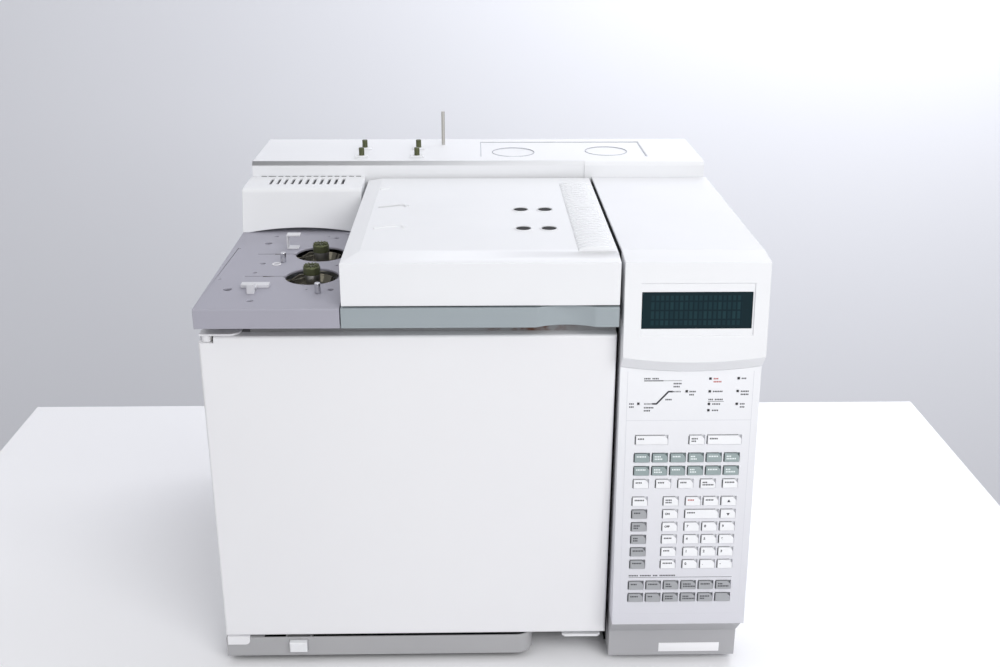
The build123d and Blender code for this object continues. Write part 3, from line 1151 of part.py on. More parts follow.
def keypad_panel():
    """Keypad bezel: leaning face with a hole for every key and lamp, and bosses for the key board."""
    x = (COLUMN_LEFT, CABINET_WIDTH)
    outline = [(KEYPAD_FRONT, KEYPAD_BOTTOM), (KEYPAD_TOP_FRONT, HEAD_BOTTOM), (BEZEL_BACK, HEAD_BOTTOM),
               (BEZEL_BACK, KEYPAD_BOTTOM)]
    face = make_face(Polyline(*outline, close=True))
    inside = offset(face, -MOULDED_WALL, kind=Kind.INTERSECTION)
    hollow = extrude(Plane.YZ.offset(x[0] + MOULDED_WALL) * inside, x[1] - x[0] - 2 * MOULDED_WALL)
    hollow = hollow + Pos(0, MOULDED_WALL + 1, 0) * hollow - above_arch(SEAM + MOULDED_WALL)
    panel = extrude(Plane.YZ.offset(x[0]) * face, x[1] - x[0]) - above_arch(SEAM) - hollow
    bosses = [post_z(u, v, (-BOARD_DEPTH, -MOULDED_WALL), BOARD_BOSS) for u, v in boss_places()]
    panel += [KEYPAD_FACE.location * boss for boss in bosses]
    depth = (-MOULDED_WALL - 1, 1)
    holes = []
    for places in key_places().values():
        for u, v, width in places:
            holes.append(block(about(u, width + 2 * KEY_CLEARANCE), about(v, KEY_HEIGHT + 2 * KEY_CLEARANCE),
                               depth))
    for u, v in lamp_places():
        holes.append(post_z(u, v, depth, LAMP_WIDTH + 2 * LAMP_CLEARANCE))
    return panel - [KEYPAD_FACE.location * hole for hole in holes]


def keypad_board():
    """Circuit board behind the keys, on the panel's bosses."""
    edge = MOULDED_WALL + BOARD_BOSS / 2
    board = block((edge, COLUMN_WIDTH - edge), (BOARD_BOTTOM_GAP, KEYPAD_LENGTH - BOARD_TOP_GAP),
                  (-BOARD_DEPTH - BOARD_THICKNESS, -BOARD_DEPTH))
    return KEYPAD_FACE.location * board


def status_lamps():
    """Square light guides that stand on the key board and end just proud of the panel."""
    return [KEYPAD_FACE.location * post_z(u, v, (-BOARD_DEPTH, LAMP_RISE), LAMP_WIDTH) for u, v in lamp_places()]


def display_head():
    """Head moulding: leaning face, arched chamfered lower lip, recessed window and shallow top bevel."""
    x = (COLUMN_LEFT, CABINET_WIDTH)
    slope = (HEAD_TOP_FRONT - HEAD_FRONT) / (HEAD_FACE_TOP - HEAD_LIP)
    low = HEAD_BOTTOM - HEAD_SAG - 4
    low_front = HEAD_FRONT - slope * (HEAD_LIP - low)
    outline = [(low_front, low), (HEAD_TOP_FRONT, HEAD_FACE_TOP), (BEZEL_BACK, LID_TOP), (BEZEL_BACK, low)]
    head = along_x(outline, x) & above_arch(0)
    lip = head.edges().group_by(Axis.Y)[0].sort_by(Axis.Z)[0]
    head = chamfer(lip, HEAD_CHAMFER)
    inner_low = HEAD_BOTTOM + HEAD_CHAMFER + MOULDED_WALL
    inner_front = HEAD_FRONT + slope * (inner_low - HEAD_LIP) + MOULDED_WALL
    inner_top_front = HEAD_TOP_FRONT + MOULDED_WALL - slope * MOULDED_WALL
    inner = [(inner_front, inner_low), (inner_top_front, HEAD_FACE_TOP - MOULDED_WALL),
             (BEZEL_BACK + 1, LID_TOP - MOULDED_WALL), (BEZEL_BACK + 1, inner_low)]
    head -= along_x(inner, grown(x, -MOULDED_WALL))
    recess = block(RECESS_U, RECESS_W, (-RECESS_DEPTH, 5))
    window = block(WINDOW_U, WINDOW_W, (-3 * MOULDED_WALL, 5))
    return head - HEAD_FACE.location * recess - HEAD_FACE.location * window


def display_window():
    """Dark window plate behind the head's opening."""
    plate = block(grown(WINDOW_U, WINDOW_LAP), grown(WINDOW_W, WINDOW_LAP),
                  (-MOULDED_WALL - WINDOW_GLASS, -MOULDED_WALL))
    return HEAD_FACE.location * plate


def display_module():
    """Fluorescent display module against the window's back."""
    depth = MOULDED_WALL + WINDOW_GLASS
    body = block(grown(WINDOW_U, 5), grown(WINDOW_W, 6), (-depth - MODULE_DEPTH, -depth))
    return HEAD_FACE.location * body


# ---------------------------------------------------------------- electronics

def main_board():
    """Main circuit board on spacers from the column's inner wall, with its larger components."""
    x = COLUMN_LEFT + SHEET
    board = block((x + 10, x + 10 + BOARD_THICKNESS), (60, 320), (60, DECK_BOTTOM))
    for y in (70, 310):
        for z in (70, DECK_BOTTOM - 10):
            board += block((x, x + 10), about(y, 6), about(z, 6))
    face = x + 10 + BOARD_THICKNESS
    board += block((face, face + 12), (90, 150), (200, 280))
    board += block((face, face + 30), (90, 200), (330, 346))
    for y in (220, 250, 280):
        board += block((face, face + 25), about(y, 20), about(120, 20))
    return board


def transformer():
    """Mains transformer on the floor of the column: an upright core and a coil through its window."""
    floor = FEET_HEIGHT + SHEET
    middle = (COLUMN_LEFT + CABINET_WIDTH) / 2
    core_z = (floor, floor + CORE_HEIGHT)
    core = block(about(middle, CORE_WIDTH), about(CORE_Y, CORE_STACK), core_z)
    coil = block(about(middle, COIL_WIDTH), about(CORE_Y, COIL_LENGTH), grown(core_z, -CORE_YOKE))
    return core + chamfer(coil.edges().filter_by(Axis.Y), COIL_CHAMFER)


def build():
    """Every node's solid or list of solids."""
    nodes = {
        "base_pan": base_pan(),
        "rubber_feet": rubber_feet(),
        "front_kick_panel": front_kick_panel(),
        "column_foot": column_foot(),
        "oven_shell": oven_shell(),
        "oven_insulation": oven_insulation(),
        "oven_liner": oven_liner(),
        "fan_shroud": fan_shroud(),
        "oven_heater": oven_heater(),
        "fan_motor": fan_motor(),
        "oven_fan": oven_fan(),
        "left_side_cover": left_side_cover(),
        "electronics_cover": electronics_cover(),
        "rear_panel": rear_panel(),
        "exhaust_flap": air_flap(EXHAUST_Z),
        "intake_flap": air_flap(INTAKE_Z),
        "power_inlet": power_inlet(),
        "power_button": power_button(),
        "door_panel": door_panel(),
        "door_liner": door_liner(),
        "door_insulation": door_insulation(),
        "door_gasket": door_gasket(),
        "door_hinge_brackets": door_hinge_brackets(),
        "door_latch": door_latch(),
        "inlet_plate": inlet_plate(),
        "front_inlet": inlet(INLET_FRONT_Y),
        "rear_inlet": inlet(INLET_REAR_Y),
        "septum_nut_front": septum_nut(INLET_FRONT_Y),
        "septum_nut_rear": septum_nut(INLET_REAR_Y),
        "injector_posts": injector_posts(),
        "inlet_hood": inlet_hood(),
        "lid_trim_strip": lid_trim_strip(),
        "detector_deck": detector_deck(),
        "detector_lid": detector_lid(),
        "front_detector": detector(DETECTOR_FRONT_Y),
        "rear_detector": detector(DETECTOR_REAR_Y),
        "rear_cover": rear_cover(),
        "flow_manifold": flow_manifold(),
        "vent_fittings": vent_fittings(),
        "vent_tube": vent_tube(),
        "keypad_panel": keypad_panel(),
        "keypad_board": keypad_board(),
        "status_lamps": status_lamps(),
        "display_head": display_head(),
        "display_window": display_window(),
        "display_module": display_module(),
        "main_board": main_board(),
        "transformer": transformer(),
    }
    for name, places in key_places().items():
        nodes[name] = [key(u, v, width) for u, v, width in places]
    return nodes


def as_solids(shape):
    """The solids of a node, whether it was built as one shape or as a list."""
    shapes = shape if isinstance(shape, list) else [shape]
    return [solid for item in shapes for solid in item.solids()]


def main():
    nodes = {name: Compound(children=as_solids(shape)) for name, shape in build().items()}
    boxes = [node.bounding_box() for node in nodes.values()]
    middle_x = (min(box.min.X for box in boxes) + max(box.max.X for box in boxes)) / 2
    middle_y = (min(box.min.Y for box in boxes) + max(box.max.Y for box in boxes)) / 2
    print("shift", round(-middle_x, 4), round(-middle_y, 4))
    os.makedirs("parts", exist_ok=True)
    for name, node in nodes.items():
        export_step(Pos(-middle_x, -middle_y, 0) * node, "parts/" + name + ".step")


main()
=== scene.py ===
from math import atan2, cos, pi, radians
import bmesh
import bpy
from mathutils import Matrix, Vector


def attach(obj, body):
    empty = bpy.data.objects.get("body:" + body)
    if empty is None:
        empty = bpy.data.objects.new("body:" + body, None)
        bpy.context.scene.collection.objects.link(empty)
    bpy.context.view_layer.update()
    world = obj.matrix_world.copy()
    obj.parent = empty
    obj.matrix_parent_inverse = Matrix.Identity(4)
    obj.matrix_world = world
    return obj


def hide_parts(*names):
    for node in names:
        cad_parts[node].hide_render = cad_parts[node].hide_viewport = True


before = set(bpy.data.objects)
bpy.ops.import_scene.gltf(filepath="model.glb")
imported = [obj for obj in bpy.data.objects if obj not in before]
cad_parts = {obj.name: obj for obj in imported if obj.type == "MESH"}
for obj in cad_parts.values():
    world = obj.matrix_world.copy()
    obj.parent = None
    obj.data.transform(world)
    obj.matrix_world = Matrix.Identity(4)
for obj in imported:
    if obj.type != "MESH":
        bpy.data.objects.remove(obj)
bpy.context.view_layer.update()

# Bench gas chromatograph. Sizes in the calls below are millimetres, x from the cabinet's left side,
# y from the oven door's front face to the back and z from the bench.
bpy.ops.object.select_all(action="DESELECT")


# ---------------------------------------------------------------- camera
# A moderate lens a little left of the middle, above the cabinet and tipped down on it.
# It stands a little over a metre in front of the oven door.
MIDDLE_X = 292.5
MIDDLE_Y = 237.0


def cabinet(x, y, z):
    """Point of the cabinet, in metres in the scene."""
    return Vector(((x - MIDDLE_X) / 1000, (y - MIDDLE_Y) / 1000, z / 1000))


bpy.ops.object.camera_add(location=cabinet(285.4, -1120.6, 831.1))
camera = bpy.context.object
swing, tip, roll = -0.0232, -0.3646, -0.0033
facing = Matrix.Rotation(swing, 3, "Z") @ Matrix.Rotation(tip, 3, "X") @ Matrix.Rotation(roll, 3, "Y")
camera.rotation_euler = (facing @ Matrix.Rotation(pi / 2, 3, "X")).to_euler()
camera.data.sensor_width = 36.0
camera.data.lens = 41.81
bpy.context.scene.camera = camera


# ---------------------------------------------------------------- feet
# Four round feet of black nitrile rubber, moulded and pushed into the floor tray.
# Matt, with a faint dusty bloom from the bench.
def tint(code):
    """An sRGB hex colour as linear red, green, blue and alpha."""
    parts = [int(code[i:i + 2], 16) / 255 for i in (0, 2, 4)]
    linear = [c / 12.92 if c < 0.04045 else ((c + 0.055) / 1.055) ** 2.4 for c in parts]
    return (*linear, 1.0)


def add(tree, kind, inputs=None, **settings):
    """One node with its settings; each input takes a value or another node's output."""
    node = tree.nodes.new(kind)
    for name, value in settings.items():
        setattr(node, name, value)
    for name, value in (inputs or {}).items():
        if isinstance(value, bpy.types.NodeSocket):
            tree.links.new(value, node.inputs[name])
        else:
            node.inputs[name].default_value = value
    return node


def surface(name, **values):
    """An empty material with its shader; returns the material, its tree, the shader and object coordinates."""
    material = bpy.data.materials.new(name)
    material.use_nodes = True
    tree = material.node_tree
    shader = tree.nodes["Principled BSDF"]
    for key, value in values.items():
        shader.inputs[key.replace("_", " ")].default_value = value
    place = add(tree, "ShaderNodeTexCoord").outputs["Object"]
    return material, tree, shader, place


def moulded(name, light, dark, roughness, grain_mm, relief_mm, cloud_mm=120.0, metallic=0.0):
    """Skin with slow changes of shade between two colours and a fine raised grain."""
    material, tree, shader, place = surface(name, Roughness=roughness, Metallic=metallic)
    clouds = add(tree, "ShaderNodeTexNoise", {"Vector": place, "Scale": 1000 / cloud_mm, "Detail": 3.0})
    shade = add(tree, "ShaderNodeMix", {0: clouds.outputs["Fac"], 6: tint(light), 7: tint(dark)},
                data_type="RGBA")
    tree.links.new(shade.outputs[2], shader.inputs["Base Color"])
    grain = add(tree, "ShaderNodeTexNoise", {"Vector": place, "Scale": 1000 / grain_mm, "Detail": 2.0})
    bump = add(tree, "ShaderNodeBump",
               {"Height": grain.outputs["Fac"], "Distance": relief_mm / 1000, "Strength": 0.6})
    tree.links.new(bump.outputs["Normal"], shader.inputs["Normal"])
    return material


def dress(material, *nodes):
    """Gives carried-over parts their finish."""
    for node in nodes:
        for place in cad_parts[node].material_slots:
            place.material = material


# Black nitrile rubber, compression moulded: dull, slightly grey where it is dusty.
nitrile = moulded("moulded_nitrile_rubber", "1b1b1c", "2a2a2b", 0.85, 1.2, 0.05)
dress(nitrile, "rubber_feet")


# ---------------------------------------------------------------- floor tray
# Folded steel tray with the upright wall between oven bay and column, coloured near-black as painted shade.
# Its dark colour stands in for the shade in the gap between the two.
tray_shade_black = moulded("tray_black_as_painted_shade", "1a1b1c", "232426", 0.6, 2.0, 0.03, 60.0, 0.3)
dress(tray_shade_black, "base_pan")


# ---------------------------------------------------------------- oven case, deck and flaps
# Folded galvanised steel: the oven's case, the deck under the lid, the pneumatics housing and the flaps.
# Zinc leaves broad dull flakes, so the grey changes in patches.
def galvanised_sheet():
    """Hot-dip zinc: patches of slightly different grey, half polished."""
    material, tree, shader, place = surface("galvanised_steel", Metallic=0.75, Roughness=0.48)
    flake_mm = 14
    flakes = add(tree, "ShaderNodeTexVoronoi", {"Vector": place, "Scale": 1000 / flake_mm})
    ramp = add(tree, "ShaderNodeValToRGB", {"Fac": flakes.outputs["Color"]})
    ramp.color_ramp.elements[0].color = tint("8f9193")
    ramp.color_ramp.elements[1].color = tint("a9abad")
    tree.links.new(ramp.outputs["Color"], shader.inputs["Base Color"])
    return material


zinc = galvanised_sheet()
dress(zinc, "oven_shell", "detector_deck", "flow_manifold", "exhaust_flap", "intake_flap")


# ---------------------------------------------------------------- kick panel
# Folded steel plinth with a mid-grey enamel coat; the finger recess is pressed into its right end.
# Its outer folds have a small radius that catches light.
BROAD_FACE = 0.007  # metres across
SHALLOWEST_FOLD = radians(2)


def crisp_shading(piece):
    """Smooth shading that stays flat on broad faces, also where two of them meet at a shallow angle."""
    bpy.ops.object.shade_smooth_by_angle(angle=radians(40))
    mesh = bmesh.new()
    mesh.from_mesh(piece.data)
    for edge in mesh.edges:
        if len(edge.link_faces) == 2 and edge.calc_face_angle() > SHALLOWEST_FOLD:
            widths = [face.calc_area() / max(side.calc_length() for side in face.edges)
                      for face in edge.link_faces]
            if min(widths) > BROAD_FACE:
                edge.smooth = False
    mesh.to_mesh(piece.data)
    mesh.free()
    weighted = piece.modifiers.new("flats", "WEIGHTED_NORMAL")
    weighted.keep_sharp = True
    bpy.ops.object.modifier_apply(modifier=weighted.name)


def sharp_edges(mesh, sharp, shortest):
    """Gives full bevel weight to edges sharper than an angle in degrees and at least so many metres long."""
    faces = {}
    for face in mesh.polygons:
        for key in face.edge_keys:
            faces.setdefault(key, []).append(face.normal.copy())
    weights = mesh.attributes.new("bevel_weight_edge", "FLOAT", "EDGE")
    limit = cos(radians(sharp))
    for edge in mesh.edges:
        beside = faces.get(edge.key, [])
        start, end = (mesh.vertices[i].co for i in edge.vertices)
        if len(beside) == 2 and beside[0].dot(beside[1]) < limit and (end - start).length >= shortest:
            weights.data[edge.index].value = 1.0


def softened(node, body, material, radius_mm, segments=2, sharp=30, shortest_mm=0.0):
    """A copy of a part with its edges rounded, shown in its place.

    Edges shorter than shortest_mm stay sharp, because a wide bevel on them would shoot past its neighbours.
    """
    piece = bpy.data.objects.new(node + "_soft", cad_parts[node].data.copy())
    bpy.context.collection.objects.link(piece)
    bpy.ops.object.select_all(action="DESELECT")
    piece.select_set(True)
    bpy.context.view_layer.objects.active = piece
    bpy.ops.object.mode_set(mode="EDIT")
    bpy.ops.mesh.select_all(action="SELECT")
    bpy.ops.mesh.remove_doubles(threshold=0.00001)
    bpy.ops.mesh.dissolve_limited(angle_limit=radians(0.5))
    bpy.ops.object.mode_set(mode="OBJECT")
    sharp_edges(piece.data, sharp, shortest_mm / 1000)
    bevel = piece.modifiers.new("edges", "BEVEL")
    bevel.width = radius_mm / 1000
    bevel.segments = segments
    bevel.limit_method = "WEIGHT"
    bevel.use_clamp_overlap = False
    bpy.ops.object.modifier_apply(modifier=bevel.name)
    piece.data.materials.clear()
    piece.data.materials.append(material)
    crisp_shading(piece)
    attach(piece, body)
    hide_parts(node)
    return piece


# Mid-grey baked enamel on steel: even, satin, faint orange peel.
plinth_enamel = moulded("mid_grey_enamel", "a4a4a6", "aaaaac", 0.42, 2.5, 0.02)
softened("front_kick_panel", "chassis", plinth_enamel, 0.5)


# ---------------------------------------------------------------- power button
# Push button of the power switch, moulded in white ABS, with a lip that holds it behind the kick panel.
# Its bevelled top is worn a little greyer.
switch_white = moulded("satin_white_abs", "e9eaec", "dfe0e3", 0.38, 1.5, 0.02)
softened("power_button", "power_switch", switch_white, 0.35)


# ---------------------------------------------------------------- oven inside
# Stainless cavity, shroud and fan, black heater ring, wool jacket and the motor behind it.
# The sheet is brushed along its length and straw-tinted by heat.
def brushed_steel(name, light, dark, roughness):
    """Rolled stainless sheet: fine grain along one direction, drawn at 0.8 mm so that it shows."""
    material, tree, shader, place = surface(name, Metallic=1.0, Roughness=roughness)
    along, across = 1000 / 25, 1000 / 0.8
    stretch = add(tree, "ShaderNodeMapping", {"Vector": place, "Scale": (along, across, across)})
    grain = add(tree, "ShaderNodeTexNoise", {"Vector": stretch.outputs["Vector"], "Scale": 1.0, "Detail": 2.0})
    shade = add(tree, "ShaderNodeMix", {0: grain.outputs["Fac"], 6: tint(light), 7: tint(dark)},
                data_type="RGBA")
    tree.links.new(shade.outputs[2], shader.inputs["Base Color"])
    return material


stainless = brushed_steel("brushed_stainless_steel", "c4c2bd", "aca9a2", 0.32)
dress(stainless, "oven_liner", "fan_shroud", "oven_fan", "front_inlet", "rear_inlet")

# The detectors' castings under the lid are coloured near-black as painted shade, so the lid's holes look dark.
hole_shade_black = moulded("black_as_painted_hole_shade", "0f0f0f", "171615", 0.7, 2.0, 0.08, 30.0, 0.4)
dress(hole_shade_black, "front_detector", "rear_detector")

# Oxidised heater sheath: almost black, dry.
heater_sheath = moulded("oxidised_heater_sheath", "3a3430", "4b3f36", 0.7, 3.0, 0.05, 30.0, 0.6)
dress(heater_sheath, "oven_heater")

# Mineral wool: pale tan felted fibres, rough and matt.
mineral_wool = moulded("mineral_wool", "cfc6ad", "b8ab8c", 0.95, 3.0, 1.2, 20.0)
dress(mineral_wool, "oven_insulation", "door_insulation")

# Cast motor housing: dark, slightly rough aluminium.
cast_housing = moulded("dark_cast_aluminium", "3c3d40", "4a4b4e", 0.55, 2.0, 0.15, 40.0, 0.5)
dress(cast_housing, "fan_motor")


# ---------------------------------------------------------------- cabinet sides and back
# Cool white powder-coated sheet: left side, top and right side of the column, and the back with its ducts.
# The coat has a very fine orange peel.
powder_white = moulded("cool_white_powder_coat", "e8e9ec", "e1e2e5", 0.45, 1.8, 0.03)
dress(powder_white, "left_side_cover", "rear_panel")
softened("electronics_cover", "chassis", powder_white, 0.8, 3)

# Black moulded nylon of the mains inlet.
black_nylon = moulded("black_moulded_nylon", "0f0f10", "19191a", 0.5, 0.8, 0.03)
dress(black_nylon, "power_inlet")


# ---------------------------------------------------------------- oven door
# Pressed steel skin, painted satin white, hung on two pins; rolled edges all round.
# The paint is smooth and has yellowed a trace in broad patches.
door_paint = moulded("satin_white_paint", "e9e9eb", "e4e4e7", 0.34, 3.0, 0.015, 300.0)
dress(door_paint, "door_panel", "door_hinge_brackets")

# Grey paint on the door's inner pan, brown where hot air has leaked over its top edge.
def heat_stained():
    """Grey enamel with brown scorch in a narrow part of the top edge."""
    material, tree, shader, place = surface("heat_stained_grey_enamel", Roughness=0.5)
    leak_x, leak_half, scorch_half = 0.0505, 0.055, 0.02
    edge_low, edge_high = 0.398, 0.402
    spot_mm = 16
    apart = add(tree, "ShaderNodeSeparateXYZ", {"Vector": place})
    middle = add(tree, "ShaderNodeMath", {0: apart.outputs["X"], 1: leak_x}, operation="SUBTRACT")
    away = add(tree, "ShaderNodeMath", {0: middle.outputs[0]}, operation="ABSOLUTE")
    near = add(tree, "ShaderNodeMapRange",
               {"Value": away.outputs[0], "From Min": leak_half, "From Max": scorch_half})
    high = add(tree, "ShaderNodeMapRange",
               {"Value": apart.outputs["Z"], "From Min": edge_low, "From Max": edge_high})
    spots = add(tree, "ShaderNodeTexNoise", {"Vector": place, "Scale": 1000 / spot_mm, "Detail": 5.0})
    patch = add(tree, "ShaderNodeMapRange",
                {"Value": spots.outputs["Fac"], "From Min": 0.42, "From Max": 0.62})
    both = add(tree, "ShaderNodeMath", {0: near.outputs["Result"], 1: high.outputs["Result"]},
               operation="MULTIPLY")
    amount = add(tree, "ShaderNodeMath", {0: both.outputs[0], 1: patch.outputs["Result"]},
                 operation="MULTIPLY")
    shade = add(tree, "ShaderNodeMix", {0: amount.outputs[0], 6: tint("9b9b9d"), 7: tint("6b4a3a")},
                data_type="RGBA")
    tree.links.new(shade.outputs[2], shader.inputs["Base Color"])
    return material


pan_enamel = heat_stained()
dress(pan_enamel, "door_liner")

# Woven glass-fibre gasket: off-white, coarse and dull.
glass_braid = moulded("woven_glass_braid", "d9d5c8", "bdb8a8", 0.9, 2.0, 0.8, 10.0)
dress(glass_braid, "door_gasket")

# Finger latch: satin white moulding hung below the door.
softened("door_latch", "latch_lever", switch_white, 0.5)


# ---------------------------------------------------------------- inlet plate
# Lilac-grey structural foam moulding with two round wells, screwed down on the oven's top.
# Its edges are softly rounded.
inlet_grey = moulded("lilac_grey_moulding", "a6a5b0", "9f9ea9", 0.5, 1.4, 0.05)
softened("inlet_plate", "chassis", inlet_grey, 0.9, 3)


# ---------------------------------------------------------------- heat cups
# A spun stainless dish round each inlet, with a rolled rim, that keeps the heat in the well.
# Two thin steel gas lines leave it for the groove on the left.
def finished(name, body, material, sharp=40):
    """Names, shades and fixes the active new piece."""
    piece = bpy.context.object
    piece.name = name
    bpy.ops.object.transform_apply(location=True, rotation=True, scale=True)
    piece.data.materials.clear()
    piece.data.materials.append(material)
    bpy.ops.object.shade_smooth_by_angle(angle=radians(sharp))
    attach(piece, body)
    return piece


INLET_X = 107.5
FRONT_INLET_Y = 94.5
REAR_INLET_Y = 178.0
CUP_FLOOR_Z = 422.0


def heat_cup(name, y):
    """Dish pulled up from its floor ring by ring, then turned over at the rim."""
    middle = cabinet(INLET_X, y, CUP_FLOOR_Z)
    bpy.ops.mesh.primitive_circle_add(vertices=64, radius=0.0195, location=middle)
    bpy.ops.object.mode_set(mode="EDIT")
    bpy.ops.mesh.select_all(action="SELECT")
    for grow, rise in ((1.08, 0.0012), (1.12, 0.0065), (1.03, 0.0012), (1.025, -0.0006), (0.995, -0.0012)):
        bpy.ops.mesh.extrude_region_move(TRANSFORM_OT_translate={"value": (0, 0, rise)})
        bpy.ops.transform.resize(value=(grow, grow, 1), center_override=middle)
    bpy.ops.object.mode_set(mode="OBJECT")
    wall = bpy.context.object.modifiers.new("wall", "SOLIDIFY")
    wall.thickness = 0.0006
    bpy.ops.object.modifier_apply(modifier=wall.name)
    finished(name, "chassis", shaded_cup_steel)


def gas_line(name, points, radius_mm=0.8):
    """Bent tube through the given points, made a mesh."""
    route = bpy.data.curves.new(name, "CURVE")
    route.dimensions = "3D"
    route.bevel_depth = radius_mm / 1000
    route.bevel_resolution = 3
    route.use_fill_caps = True
    line = route.splines.new("NURBS")
    line.points.add(len(points) - 1)
    for point, (x, y, z) in zip(line.points, points):
        point.co = (*cabinet(x, y, z), 1.0)
    line.order_u = 3
    line.use_endpoint_u = True
    piece = bpy.data.objects.new(name, route)
    bpy.context.collection.objects.link(piece)
    bpy.ops.object.select_all(action="DESELECT")
    piece.select_set(True)
    bpy.context.view_layer.objects.active = piece
    bpy.ops.object.convert(target="MESH")
    return finished(name, "chassis", shaded_cup_steel)


# The steel of the cups and gas lines is darkened as painted shade, for the shade in the wells and the groove.
shaded_cup_steel = brushed_steel("stainless_darkened_as_shade", "5d5a50", "3b3931", 0.12)
for place, y in (("front", FRONT_INLET_Y), ("rear", REAR_INLET_Y)):
    heat_cup(place + "_heat_cup", y)
    gas_line(place + "_carrier_line",
             ((100, y + 2, 436), (95, y + 4, 437), (90, y + 3, 434), (84, y + 1, 430),
              (78, y, 431), (72, y - 0.4, 434.2), (60, y - 0.4, 434.6)))
    gas_line(place + "_purge_line",
             ((100, y - 4, 435), (94, y - 7, 435), (88, y - 6, 432), (82, y - 3, 429),
              (77, y + 1, 431), (70, y + 0.6, 434.2), (54, y + 0.6, 434.6)))


# ---------------------------------------------------------------- septum nuts
# Twelve-sided cap nuts of aluminium, anodised olive and screwed down on the inlets by hand.
# Twelve low ribs on the top give the fingers their grip.
olive_anodised = moulded("olive_anodised_aluminium", "5f6344", "454932", 0.38, 1.5, 0.05, 12.0, 0.6)
softened("septum_nut_front", "front_nut", olive_anodised, 0.5, 3, 20)
softened("septum_nut_rear", "rear_nut", olive_anodised, 0.5, 3, 20)


def grip_ribs(name, body, y):
    """Low ribs on the cap's top, one modelled and the rest turned copies."""
    count = 12
    bpy.ops.mesh.primitive_cube_add(size=1.0, location=(0.0056, 0.0, 0.0), scale=(0.0058, 0.0013, 0.0016))
    bpy.ops.object.transform_apply(location=True, scale=True)
    bpy.ops.object.mode_set(mode="EDIT")
    bpy.ops.mesh.select_all(action="SELECT")
    bpy.ops.mesh.bevel(offset=0.0004, segments=2)
    for _ in range(count - 1):
        bpy.ops.mesh.duplicate()
        bpy.ops.transform.rotate(value=2 * pi / count, orient_axis="Z", center_override=(0, 0, 0))
    bpy.ops.object.mode_set(mode="OBJECT")
    bpy.context.object.location = cabinet(INLET_X, y, 448.4)
    finished(name, body, olive_anodised)


grip_ribs("front_nut_ribs", "front_nut", FRONT_INLET_Y)
grip_ribs("rear_nut_ribs", "rear_nut", REAR_INLET_Y)


# ---------------------------------------------------------------- posts on the inlet plate
# Steel posts turned with small round heads, plated in bright nickel and screwed into the plate.
# The fine turning marks blur their reflections a little.
plated = brushed_steel("bright_nickel_plate", "d8d8da", "bdbdc0", 0.12)
posts = softened("injector_posts", "chassis", plated, 0.8, 3)

# The winged post and the bent bracket among them are pale moulded nylon.
pale_nylon = moulded("pale_moulded_nylon", "d9d9dd", "cfcfd3", 0.4, 1.2, 0.03)
posts.data.materials.append(pale_nylon)
wing_middle = cabinet(52.0, 51.0, 440.0)
bracket_middle = cabinet(73.0, 202.0, 440.0)
half_width, half_depth = 0.0165, 0.018
for face in posts.data.polygons:
    for middle in (wing_middle, bracket_middle):
        if abs(face.center.x - middle.x) < half_width and abs(face.center.y - middle.y) < half_depth:
            face.material_index = 1

# White plastic ring pressed into the plate.
bpy.ops.mesh.primitive_torus_add(major_radius=0.0043, minor_radius=0.0009,
                                 major_segments=40, minor_segments=10)
bpy.ops.object.mode_set(mode="EDIT")
bpy.ops.mesh.select_all(action="SELECT")
bpy.ops.transform.resize(value=(1.0, 1.0, 0.6), center_override=(0, 0, 0))
bpy.ops.object.mode_set(mode="OBJECT")
bpy.context.object.location = cabinet(62.0, 138.0, 435.9)
white_ring_nylon = moulded("white_moulded_nylon", "f1f1f3", "eaeaec", 0.35, 1.0, 0.01)
finished("plate_ring", "chassis", white_ring_nylon)


# ---------------------------------------------------------------- hood over the inlet lines
# White ABS hood over the inlet lines, moulded with a large round along its front edge.
# Its top is slotted and its lower edge is arched.
white_moulding = moulded("textured_white_abs", "eaebed", "e4e5e8", 0.45, 1.6, 0.04)
softened("inlet_hood", "chassis", white_moulding, 0.6, 3)

# Dark dashes of painted shadow in the slots between the hood's top and the rear cover.
slot_shadow_dark = moulded("painted_slot_shadow", "3a3b40", "4a4b50", 0.9, 2.0, 0.2)
dash_spans = [(13.0, 20.0), (22.0, 26.5)] + [(25.5 + 9.0 * i, 31.5 + 9.0 * i) for i in range(11)]
dash_spans += [(125.0, 131.0), (134.0, 140.0)]
for index, (left, right) in enumerate(dash_spans):
    bpy.ops.mesh.primitive_cube_add(size=1.0, location=cabinet((left + right) / 2, 349.2, 487.05),
                                    scale=((right - left) / 1000, 0.0012, 0.0006))
    if index == 0:
        bpy.ops.object.transform_apply(location=True, scale=True)
        bpy.ops.object.mode_set(mode="EDIT")
bpy.ops.object.mode_set(mode="OBJECT")
finished("hood_slot_shadows", "chassis", slot_shadow_dark)


# ---------------------------------------------------------------- trim strip
# Hollow blue-grey strip below the lid's front, moulded with the finger scoop that lifts the lid.
# Its outer edges are softly rounded.
trim_moulding = moulded("blue_grey_moulding", "9ca5a9", "939ca1", 0.45, 1.4, 0.04)
softened("lid_trim_strip", "chassis", trim_moulding, 0.8, 3)


# ---------------------------------------------------------------- detector lid
# White ABS lid over the detectors, moulded with a bevelled top and a louvred hump on its right.
# It hangs on two pins at its rear edge; only its long edges are rounded.
softened("detector_lid", "lid", white_moulding, 0.9, 3, shortest_mm=60.0)
